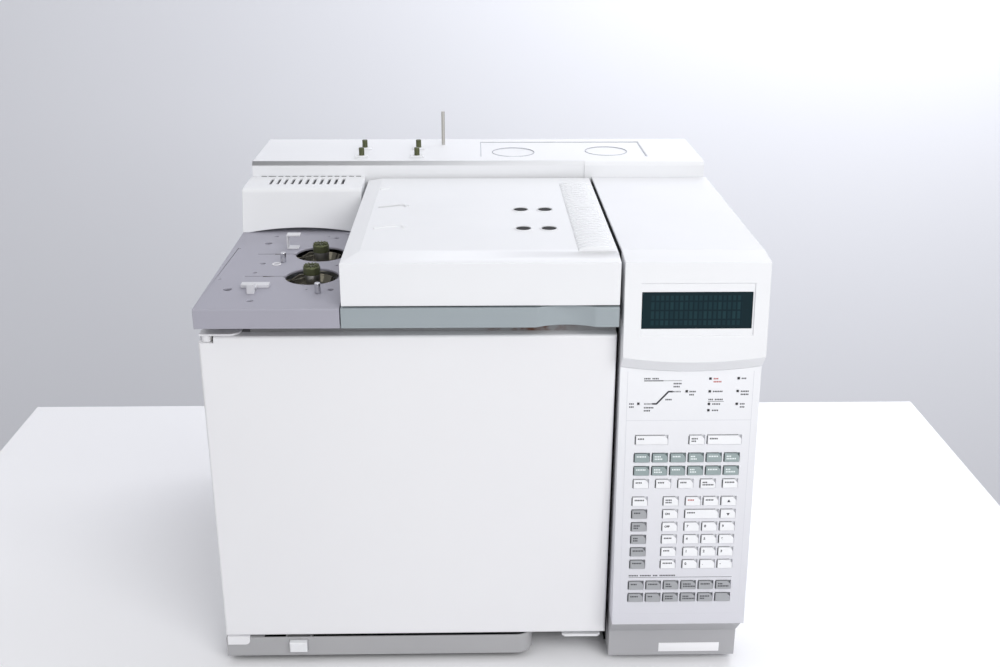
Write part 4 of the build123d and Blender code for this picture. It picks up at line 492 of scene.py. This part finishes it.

# Black caps on the detectors' towers, which reach up into the lid's holes: dark pieces put there as painted
# shade.
# One is turned from a disc by extruding and tapering; the others are its copies.
cap_foot = cabinet(339.0, 104.0, 475.0)
bpy.ops.mesh.primitive_circle_add(vertices=48, radius=0.0078, fill_type="NGON", location=cap_foot)
bpy.ops.object.transform_apply(location=True)
bpy.ops.object.mode_set(mode="EDIT")
bpy.ops.mesh.select_all(action="SELECT")
for rise, taper in ((0.0108, 1.0), (0.0006, 0.93)):
    bpy.ops.mesh.extrude_region_move(TRANSFORM_OT_translate={"value": (0, 0, rise)})
    bpy.ops.transform.resize(value=(taper, taper, 1), center_override=cap_foot)
bpy.ops.mesh.select_all(action="SELECT")
bpy.ops.mesh.normals_make_consistent(inside=False)
bpy.ops.object.mode_set(mode="OBJECT")
first_cap = finished("hole_shade_cap_front_left", "chassis", hole_shade_black)
port_apart, detectors_apart = 28.0, 80.0
for cap_name, across, back in (("front_right", port_apart, 0.0), ("rear_left", 0.0, detectors_apart),
                               ("rear_right", port_apart, detectors_apart)):
    cap = first_cap.copy()
    cap.data = first_cap.data.copy()
    cap.name = "hole_shade_cap_" + cap_name
    bpy.context.collection.objects.link(cap)
    cap.data.transform(Matrix.Translation((across / 1000, back / 1000, 0)))
    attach(cap, "chassis")

# Arched louvre ribs moulded across the vent, one between each pair of slots.
rib_pitch, rib_depth, rib_count, rib_foot = 0.010, 0.0072, 29, -0.0004
bpy.ops.mesh.primitive_circle_add(vertices=64, radius=0.0198, fill_type="NGON")
bpy.ops.object.mode_set(mode="EDIT")
bpy.ops.mesh.select_all(action="SELECT")
bpy.ops.transform.rotate(value=radians(90), orient_axis="X", center_override=(0, 0, 0))
bpy.ops.transform.resize(value=(1, 1, 0.22), center_override=(0, 0, 0))
bpy.ops.object.mode_set(mode="OBJECT")
for corner in bpy.context.object.data.vertices:
    if corner.co.z < rib_foot:
        corner.co.z = rib_foot
bpy.ops.object.mode_set(mode="EDIT")
bpy.ops.mesh.dissolve_limited(angle_limit=radians(0.5))
bpy.ops.mesh.extrude_region_move(TRANSFORM_OT_translate={"value": (0, rib_depth, 0)})
bpy.ops.object.mode_set(mode="OBJECT")
bpy.context.object.location = cabinet(412.0, 20.4, 486.0)
softened_rib = bpy.context.object.modifiers.new("soft_edge", "BEVEL")
softened_rib.width = 0.0007
softened_rib.segments = 2
softened_rib.limit_method = "ANGLE"
softened_rib.angle_limit = radians(60)
bpy.ops.object.modifier_apply(modifier=softened_rib.name)
ribs = bpy.context.object.modifiers.new("ribs", "ARRAY")
ribs.count = rib_count
ribs.use_relative_offset = False
ribs.use_constant_offset = True
ribs.constant_offset_displace = (0.0, rib_pitch, 0.0)
bpy.ops.object.modifier_apply(modifier=ribs.name)
finished("lid_louvre_ribs", "lid", white_moulding)


# ---------------------------------------------------------------- rear cover
# White ABS cover over the pneumatics, moulded with a recess and two round knock-outs.
# It lies behind the lid; its shortest edges stay sharp.
softened("rear_cover", "chassis", white_moulding, 0.8, 3, shortest_mm=2.2)

# Painted shadow lines in grey: rings round the knock-outs in the cover's recess, and strips along the recess's
# edges.
recess_shadow_grey = moulded("painted_recess_shadow", "b4b6bd", "a9abb3", 0.6, 1.0, 0.02)
for index, (x, y) in enumerate(((337.8, 414.0), (462.4, 420.0))):
    bpy.ops.mesh.primitive_torus_add(major_radius=0.0278, minor_radius=0.0005, major_segments=64,
                                     minor_segments=8, location=cabinet(x, y, 504.5))
    if index == 0:
        bpy.ops.object.transform_apply(location=True)
        bpy.ops.object.mode_set(mode="EDIT")
for x, y, across, along in ((294.6, 429.0, 1.1, 98.0), (512.2, 429.0, 1.5, 98.0), (403.5, 477.3, 219.0, 1.3)):
    bpy.ops.mesh.primitive_cube_add(size=1.0, location=cabinet(x, y, 504.6),
                                    scale=(across / 1000, along / 1000, 0.0008))
bpy.ops.object.mode_set(mode="OBJECT")
finished("recess_shadow_lines", "chassis", recess_shadow_grey)
dress(stainless, "vent_tube")

# Olive tube fittings on long white plinths.
fittings = softened("vent_fittings", "chassis", olive_anodised, 0.5)
fittings.data.materials.append(white_moulding)
plinth_top = 0.50858
for face in fittings.data.polygons:
    if face.center.z < plinth_top:
        face.material_index = 1


# ---------------------------------------------------------------- column foot
# Hollow mid-grey moulding below the column, textured in the mould, that slopes out to the keypad panel.
# Its outer edges are softly rounded.
foot_moulding = moulded("mid_grey_moulding", "a4a4a7", "ababae", 0.48, 1.4, 0.04)
softened("column_foot", "chassis", foot_moulding, 0.8, 3)

# Bare white data plate riveted on the foot's face: punched sheet with rounded corners.
bpy.ops.mesh.primitive_cube_add(size=1.0, location=cabinet(529.3, -6.2, 18.9), scale=(0.0695, 0.0005, 0.0116))
bpy.ops.object.transform_apply(location=True, scale=True)
bpy.ops.object.mode_set(mode="EDIT")
bpy.ops.mesh.select_all(action="SELECT")
bpy.ops.mesh.bevel(offset=0.00015, segments=2)
bpy.ops.object.mode_set(mode="OBJECT")
data_plate_white = moulded("white_lacquered_plate", "f3f3f5", "ececef", 0.35, 1.0, 0.01)
finished("data_plate", "chassis", data_plate_white)


# ---------------------------------------------------------------- keypad panel
# White moulded bezel that leans back on the column's front, with a hole for every key.
# A matt grey film is bonded over its face.
def printed_film():
    """Matt printed film over white moulding, pale at the top and greyer towards the foot; the darkening is
    painted shade.
    """
    material, tree, shader, place = surface("keypad_film_with_painted_shade", Roughness=0.5)
    apart = add(tree, "ShaderNodeSeparateXYZ", {"Vector": place})
    # Painted shade: the film's colour darkens towards the panel's foot.
    fall = add(tree, "ShaderNodeMapRange", {"Value": apart.outputs["Z"], "From Min": 0.06, "From Max": 0.37})
    shade = add(tree, "ShaderNodeMix", {0: fall.outputs["Result"], 6: tint("cfcfd6"), 7: tint("eaebee")},
                data_type="RGBA")
    tree.links.new(shade.outputs[2], shader.inputs["Base Color"])
    return material


shaded_keypad_film = printed_film()
softened("keypad_panel", "chassis", shaded_keypad_film, 0.45, 2)

# Keys: two-shot mouldings, white, teal-grey and mid grey, each with a rounded top right corner.
key_white = moulded("white_key_moulding", "eff0f2", "e9eaed", 0.4, 1.0, 0.02)
key_teal = moulded("teal_grey_key_moulding", "98a5a5", "8e9c9d", 0.42, 1.0, 0.02)
key_grey = moulded("mid_grey_key_moulding", "a6a8ab", "9c9ea2", 0.42, 1.0, 0.02)
for node in ("key_stop", "key_prep_run", "key_start", "key_enter", "key_up", "key_down", "oven_keys",
             "mode_keys", "number_keys"):
    softened(node, node + "_body", key_white, 0.35, 2)
softened("channel_keys", "channel_keys_body", key_teal, 0.35, 2)
side_keys = softened("side_keys", "side_keys_body", key_grey, 0.35, 2)
side_keys.data.materials.append(key_white)
top_key_foot = 0.2066
for face in side_keys.data.polygons:
    if face.center.z > top_key_foot:
        face.material_index = 1
softened("method_keys", "method_keys_body", key_grey, 0.35, 2)


# ---------------------------------------------------------------- print on the keypad
# Screen-printed ink: digits, arrows and plain marks on the keys, rules and a ramp line on the panel.
# The ink lies a hair above the moulding and is dull.
lean = atan2(21.0, 304.0)
keypad_plane = (Matrix.Translation(cabinet(437.0, -26.0, 64.0)) @ Matrix.Rotation(pi / 2 - lean, 4, "X")
                @ Matrix.Scale(0.001, 4))
INK_DEPTH = 0.06


def ink(name, colour):
    """Matt screen ink."""
    return moulded(name, colour, colour, 0.7, 1.0, 0.005)


def printed(name, marks, height, body, material):
    """Rectangles (left, low, right, high) in millimetres on the keypad's face, as one thin layer of ink."""
    bpy.ops.object.select_all(action="DESELECT")
    for index, (left, low, right, high) in enumerate(marks):
        middle = ((left + right) / 2, (low + high) / 2, height + INK_DEPTH / 2)
        bpy.ops.mesh.primitive_cube_add(size=1.0, location=middle, scale=(right - left, high - low, INK_DEPTH))
        if index == 0:
            bpy.ops.object.transform_apply(location=True, scale=True)
            bpy.ops.object.mode_set(mode="EDIT")
    bpy.ops.object.mode_set(mode="OBJECT")
    piece = bpy.context.object
    piece.data.transform(keypad_plane)
    return finished(name, body, material)


def word(left, low, letters, height=1.6, pitch=1.75):
    """A word-like row of plain marks."""
    return [(left + i * pitch, low, left + i * pitch + 0.72 * pitch, low + height) for i in range(letters)]


KEY_WIDTH = 15.8


def key_words(places, counts):
    """Two short rows of marks at the upper left of each key."""
    marks = []
    for (u, v), (first, second) in zip(places, counts):
        left = u - KEY_WIDTH / 2 + 2.0
        marks += word(left, v + 0.9, first) + word(left, v - 1.9, second)
    return marks


ROW_PITCH = 15.13


def row(base, index):
    """Height of a row of keys above the lowest of its block."""
    return base + ROW_PITCH * index


KEY_TOP = 1.32
MIDDLE_BLOCK, CHANNEL_BLOCK, METHOD_BLOCK, OVEN_ROW = 74.8, 186.2, 33.8, 171.1
CHANNEL_PITCH, METHOD_PITCH, OVEN_PITCH, NUMBER_PITCH = 19.3, 19.38, 24.1, 19.37
SIDE_COLUMN, MODE_COLUMN, NUMBER_COLUMN, ARROW_COLUMN = 25.9, 59.5, 83.6, 122.3
dark_ink = ink("dark_grey_ink", "303136")
light_ink = ink("pale_ink", "e8efef")
red_ink = ink("red_ink", "b0483f")
printed("stop_print", word(21.0, 222.6, 4), KEY_TOP, "key_stop_body", dark_ink)
printed("prep_print", word(78.3, 222.6, 4) + word(78.3, 219.8, 3),
        KEY_TOP, "key_prep_run_body", dark_ink)
printed("start_print", word(97.8, 222.6, 5), KEY_TOP, "key_start_body", dark_ink)
printed("enter_print", word(77.8, row(MIDDLE_BLOCK, 4) + 1.0, 5), KEY_TOP, "key_enter_body", dark_ink)
channel_places = [(26.3 + c * CHANNEL_PITCH, row(CHANNEL_BLOCK, r)) for r in (0, 1) for c in range(6)]
printed("channel_print", key_words(channel_places, ((6, 0), (4, 5), (5, 0), (3, 4), (6, 0), (3, 6)) * 2),
        KEY_TOP, "channel_keys_body", light_ink)
oven_places = [(26.3 + c * OVEN_PITCH, OVEN_ROW) for c in range(5)]
printed("oven_print", key_words(oven_places, ((4, 0), (4, 0), (4, 0), (3, 7), (6, 0))),
        KEY_TOP, "oven_keys_body", dark_ink)
side_places = [(SIDE_COLUMN, row(MIDDLE_BLOCK, r)) for r in range(6)]
printed("side_print", key_words(side_places, ((6, 0), (7, 0), (3, 3), (4, 3), (4, 0), (6, 0))),
        KEY_TOP, "side_keys_body", dark_ink)
mode_places = [(MODE_COLUMN, row(MIDDLE_BLOCK, r)) for r in (0, 1, 2, 5)] + [(103.0, row(MIDDLE_BLOCK, 5))]
printed("mode_print", key_words(mode_places, ((6, 0), (4, 0), (5, 0), (4, 4), (5, 0))),
        KEY_TOP, "mode_keys_body", dark_ink)
printed("info_print", key_words([(NUMBER_COLUMN, row(MIDDLE_BLOCK, 5))], ((4, 0),)),
        KEY_TOP, "mode_keys_body", red_ink)
method_places = [(25.2 + c * METHOD_PITCH, row(METHOD_BLOCK, r)) for r in (0, 1) for c in range(6)]
method_counts = ((5, 0), (3, 0), (5, 5), (4, 8), (6, 3), (0, 0), (4, 0), (6, 0), (3, 4), (5, 8), (6, 0), (3, 7))
printed("method_print", key_words(method_places, method_counts), KEY_TOP, "method_keys_body", dark_ink)


def lettering(name, text, u, v, size, body):
    """One digit or word on a key, cut from a text outline."""
    bpy.ops.object.text_add(location=(0, 0, 0))
    piece = bpy.context.object
    piece.data.body = text
    piece.data.size = size
    piece.data.extrude = INK_DEPTH / 2
    piece.data.offset = 0.14
    bpy.ops.object.convert(target="MESH")
    piece.data.transform(keypad_plane @ Matrix.Translation((u - 5.9, v - 0.4, KEY_TOP + INK_DEPTH / 2)))
    return finished(name, body, dark_ink)


for index, text in enumerate(("0", ".", "-", "1", "2", "3", "4", "5", "6", "7", "8", "9")):
    digit_u, digit_v = NUMBER_COLUMN + NUMBER_PITCH * (index % 3), row(MIDDLE_BLOCK, index // 3)
    lettering("digit_" + str(index), text, digit_u, digit_v, 4.0, "number_keys_body")
lettering("on_print", "ON", MODE_COLUMN, row(MIDDLE_BLOCK, 4), 3.2, "mode_keys_body")
lettering("off_print", "OFF", MODE_COLUMN, row(MIDDLE_BLOCK, 3), 3.2, "mode_keys_body")


def arrow(name, v, turn, body):
    """Solid triangle on an arrow key."""
    bpy.ops.mesh.primitive_circle_add(vertices=3, radius=2.1, fill_type="NGON", rotation=(0, 0, turn))
    bpy.ops.object.transform_apply(rotation=True)
    piece = bpy.context.object
    layer = piece.modifiers.new("layer", "SOLIDIFY")
    layer.thickness = INK_DEPTH
    layer.offset = 0.0
    bpy.ops.object.modifier_apply(modifier=layer.name)
    piece.data.transform(keypad_plane @ Matrix.Translation((ARROW_COLUMN, v, KEY_TOP + INK_DEPTH / 2)))
    finished(name, body, dark_ink)


arrow("up_print", row(MIDDLE_BLOCK, 5), 0, "key_up_body")
arrow("down_print", row(MIDDLE_BLOCK, 4), pi, "key_down_body")

# Headings of the lamps and keys, the rules under them and the two level parts of the ramp line.
heads = (word(25.4, 290.0, 4) + word(34.0, 290.0, 4) + word(56.5, 284.4, 5) + word(56.5, 281.0, 4)
         + word(73.6, 275.4, 4) + word(73.6, 271.9, 3) + word(10.6, 261.9, 3) + word(10.6, 258.5, 3)
         + word(26.2, 257.6, 6) + word(26.2, 254.2, 4) + word(48.6, 266.6, 4)
         + word(127.8, 289.8, 3) + word(98.4, 275.4, 6) + word(127.8, 275.4, 5) + word(127.8, 272.0, 5)
         + word(94.0, 266.4, 3) + word(100.8, 266.4, 5) + word(98.4, 261.3, 5) + word(98.4, 254.2, 4)
         + word(127.8, 261.3, 3) + word(127.8, 257.9, 3)
         + word(16.9, 60.0, 6) + word(29.4, 60.0, 7) + word(43.7, 60.0, 3) + word(51.0, 60.0, 10))
rules = [(25.4, 287.9, 45.7, 288.9), (45.7, 288.2, 65.0, 288.6),
         (93.7, 264.8, 110.4, 265.2), (16.9, 58.4, 131.0, 58.8)]
ramp = [(34.6, 261.8, 39.6, 263.6), (51.3, 275.4, 56.1, 277.2)]
ramp += [(26.3 + 1.4 * i, 261.9, 27.1 + 1.4 * i, 263.4) for i in range(6)]
ramp += [(56.4 + 1.4 * i, 275.5, 57.2 + 1.4 * i, 277.0) for i in range(6)]
PANEL_TOP = 0.02
printed("panel_print", heads + rules + ramp, PANEL_TOP, "chassis", dark_ink)
printed("ready_print", word(98.4, 289.6, 3) + word(98.4, 286.2, 5), PANEL_TOP, "chassis", red_ink)

# The slope of the ramp line joins its two level parts.
bpy.ops.mesh.primitive_cube_add(size=1.0, location=(45.4, 269.5, PANEL_TOP + INK_DEPTH / 2),
                                rotation=(0, 0, atan2(13.6, 12.2)), scale=(18.6, 1.8, INK_DEPTH))
bpy.ops.object.transform_apply(location=True, rotation=True, scale=True)
bpy.context.object.data.transform(keypad_plane)
finished("ramp_slope_print", "chassis", dark_ink)

# Painted shadow round each key hole: a black edge, wide at the left and narrow along the top, where the gaps
# fall into shade.
KEY_HALF = 4.9
square_keys = [(ARROW_COLUMN, row(MIDDLE_BLOCK, r)) for r in (4, 5)] + channel_places + method_places
square_keys += oven_places + side_places + [(MODE_COLUMN, row(MIDDLE_BLOCK, r)) for r in range(6)]
square_keys += [(NUMBER_COLUMN + NUMBER_PITCH * c, row(MIDDLE_BLOCK, 5)) for c in (0, 1)]
square_keys += [(NUMBER_COLUMN + NUMBER_PITCH * c, row(MIDDLE_BLOCK, r)) for c in range(3) for r in range(4)]
every_key = [(36.0, 221.8, 34.0), (84.2, 221.8, KEY_WIDTH), (113.6, 221.8, 35.8),
             (93.7, row(MIDDLE_BLOCK, 4), 35.8)]
every_key += [(u, v, KEY_WIDTH) for u, v in square_keys]
edges = []
for u, v, width in every_key:
    edges.append((u - width / 2 - 1.25, v - KEY_HALF, u - width / 2 - 0.45, v + KEY_HALF - 0.6))
    edges.append((u - width / 2 - 0.8, v + KEY_HALF + 0.45, u + width / 2 - 3.2, v + KEY_HALF + 0.85))
printed("key_hole_shadows", edges, PANEL_TOP, "chassis", ink("painted_key_gap_shadow", "3d4043"))

# Thin embossed border of the printed film, and the joint between its upper and lower parts.
film_edge = ink("film_edge", "cfd0d6")
printed("film_border", [(7.8, 13.0, 8.2, 299.0), (140.3, 13.0, 140.7, 299.0), (8.2, 13.0, 140.3, 13.4),
                        (8.2, 243.8, 140.3, 244.2)], PANEL_TOP, "chassis", film_edge)

# Status lamps and the boards behind the panel.
lamp_dark = moulded("unlit_lamp_lens", "2c2c2e", "3a3a3c", 0.25, 1.0, 0.01)
dress(lamp_dark, "status_lamps")
green_laminate = moulded("green_circuit_laminate", "1c4a30", "245a3b", 0.4, 2.0, 0.03, 25.0)
dress(green_laminate, "keypad_board", "main_board")
core_steel = moulded("laminated_core_steel", "3b3c3f", "2f3033", 0.6, 1.0, 0.1, 20.0, 0.5)
dress(core_steel, "transformer")


# ---------------------------------------------------------------- display head
# White ABS head at the top of the column, moulded with an arched, bevelled lower lip.
# Its window is a tinted acrylic pane in a recess.
softened("display_head", "chassis", white_moulding, 0.7, 3)


def tinted_window():
    """Tinted acrylic with the display's unlit cells showing through as faint upright bars."""
    cells_x, cells_half_width, cells_z, cells_half_height = 0.2185, 0.047, 0.432, 0.0155
    material, tree, shader, place = surface("tinted_acrylic", Roughness=0.2)
    shader.inputs["Specular IOR Level"].default_value = 0.12
    cells = add(tree, "ShaderNodeMapping", {"Vector": place, "Location": (-0.1665, 0.0, -0.4125),
                                            "Rotation": (radians(90), 0.0, 0.0)})
    grid = add(tree, "ShaderNodeTexBrick",
               {"Vector": cells.outputs["Vector"], "Color1": tint("1b353b"), "Color2": tint("152d34"),
                "Mortar": tint("0d2128"), "Scale": 1000.0, "Mortar Size": 1.5, "Mortar Smooth": 1.0,
                "Brick Width": 4.9, "Row Height": 9.6}, offset=0.0)
    apart = add(tree, "ShaderNodeSeparateXYZ", {"Vector": place})
    across = add(tree, "ShaderNodeMath", {0: apart.outputs["X"], 1: cells_x, 2: cells_half_width},
                 operation="COMPARE")
    upward = add(tree, "ShaderNodeMath", {0: apart.outputs["Z"], 1: cells_z, 2: cells_half_height},
                 operation="COMPARE")
    lit = add(tree, "ShaderNodeMath", {0: across.outputs[0], 1: upward.outputs[0]}, operation="MULTIPLY")
    shade = add(tree, "ShaderNodeMix", {0: lit.outputs[0], 6: tint("11252b"), 7: grid.outputs["Color"]},
                data_type="RGBA")
    tree.links.new(shade.outputs[2], shader.inputs["Base Color"])
    return material


window_acrylic = tinted_window()
dress(window_acrylic, "display_window")
module_case = moulded("dark_module_case", "101618", "161c1e", 0.5, 1.0, 0.02)
dress(module_case, "display_module")


# ---------------------------------------------------------------- bench and light
# A bench top in pale matt laminate, a near-white room and broad soft lamps from the front right.
# The wall stands well behind the bench.
bpy.ops.mesh.primitive_plane_add(size=1.0, location=(-0.003, -0.6, -0.0002))
bench = bpy.context.object
bench.name = "bench_top"
bench.scale = (1.51, 2.154, 1.0)
bpy.ops.object.transform_apply(location=True, scale=True)
bench.data.materials.append(moulded("pale_bench_laminate", "f8f8fa", "f5f5f7", 0.6, 2.0, 0.01, 400.0))

# Pale matt wall paint on one broad plane.
bpy.ops.mesh.primitive_plane_add(size=1.0, location=(0.0, 1.9, 1.0), rotation=(pi / 2, 0, 0))
wall = bpy.context.object
wall.name = "backdrop"
wall.scale = (9.0, 6.0, 1.0)
bpy.ops.object.transform_apply(location=True, rotation=True, scale=True)
wall.data.materials.append(moulded("pale_wall_paint", "eff1f7", "ecedf4", 0.9, 3.0, 0.0, 900.0))

world = bpy.data.worlds.new("pale_room")
bpy.context.scene.world = world
world.use_nodes = True
room = world.node_tree
room.nodes.clear()
paths = add(room, "ShaderNodeLightPath")
mirrored = add(room, "ShaderNodeMath", {0: paths.outputs["Is Camera Ray"], 1: paths.outputs["Is Glossy Ray"]},
               operation="MAXIMUM")
seen = add(room, "ShaderNodeMath", {0: mirrored.outputs[0], 1: paths.outputs["Is Transmission Ray"]},
           operation="MAXIMUM")
light = add(room, "ShaderNodeBackground", {"Color": tint("fdfdff"), "Strength": 0.45})
view = add(room, "ShaderNodeBackground", {"Color": tint("f6f8fd"), "Strength": 1.0})
either = add(room, "ShaderNodeMixShader", {0: seen.outputs[0], 1: light.outputs[0], 2: view.outputs[0]})
add(room, "ShaderNodeOutputWorld", {"Surface": either.outputs[0]})


def soft_lamp(name, place, target, size, watts, colour):
    """A square soft box aimed at a point."""
    bpy.ops.object.light_add(type="AREA", location=place)
    lamp = bpy.context.object
    lamp.name = name
    lamp.data.size = size
    lamp.data.energy = watts
    lamp.data.color = tint(colour)[:3]
    lamp.rotation_euler = (Vector(target) - Vector(place)).to_track_quat("-Z", "Y").to_euler()


# Front right, left, from above, and one on the wall.
soft_lamp("front_soft_box", (0.8, -1.7, 1.35), (0.0, -0.24, 0.25), 1.2, 22.0, "ffffff")
soft_lamp("left_soft_box", (-1.2, -1.0, 1.7), (-0.4, 0.0, 0.3), 1.0, 5.0, "ffffff")
soft_lamp("top_soft_box", (0.0, 0.3, 1.9), (0.0, 0.0, 0.0), 1.0, 3.0, "ffffff")
soft_lamp("wall_soft_box", (1.2, 0.9, 2.1), (1.3, 1.9, 1.3), 1.3, 52.0, "fbfcff")

bpy.context.scene.view_settings.view_transform = "Standard"
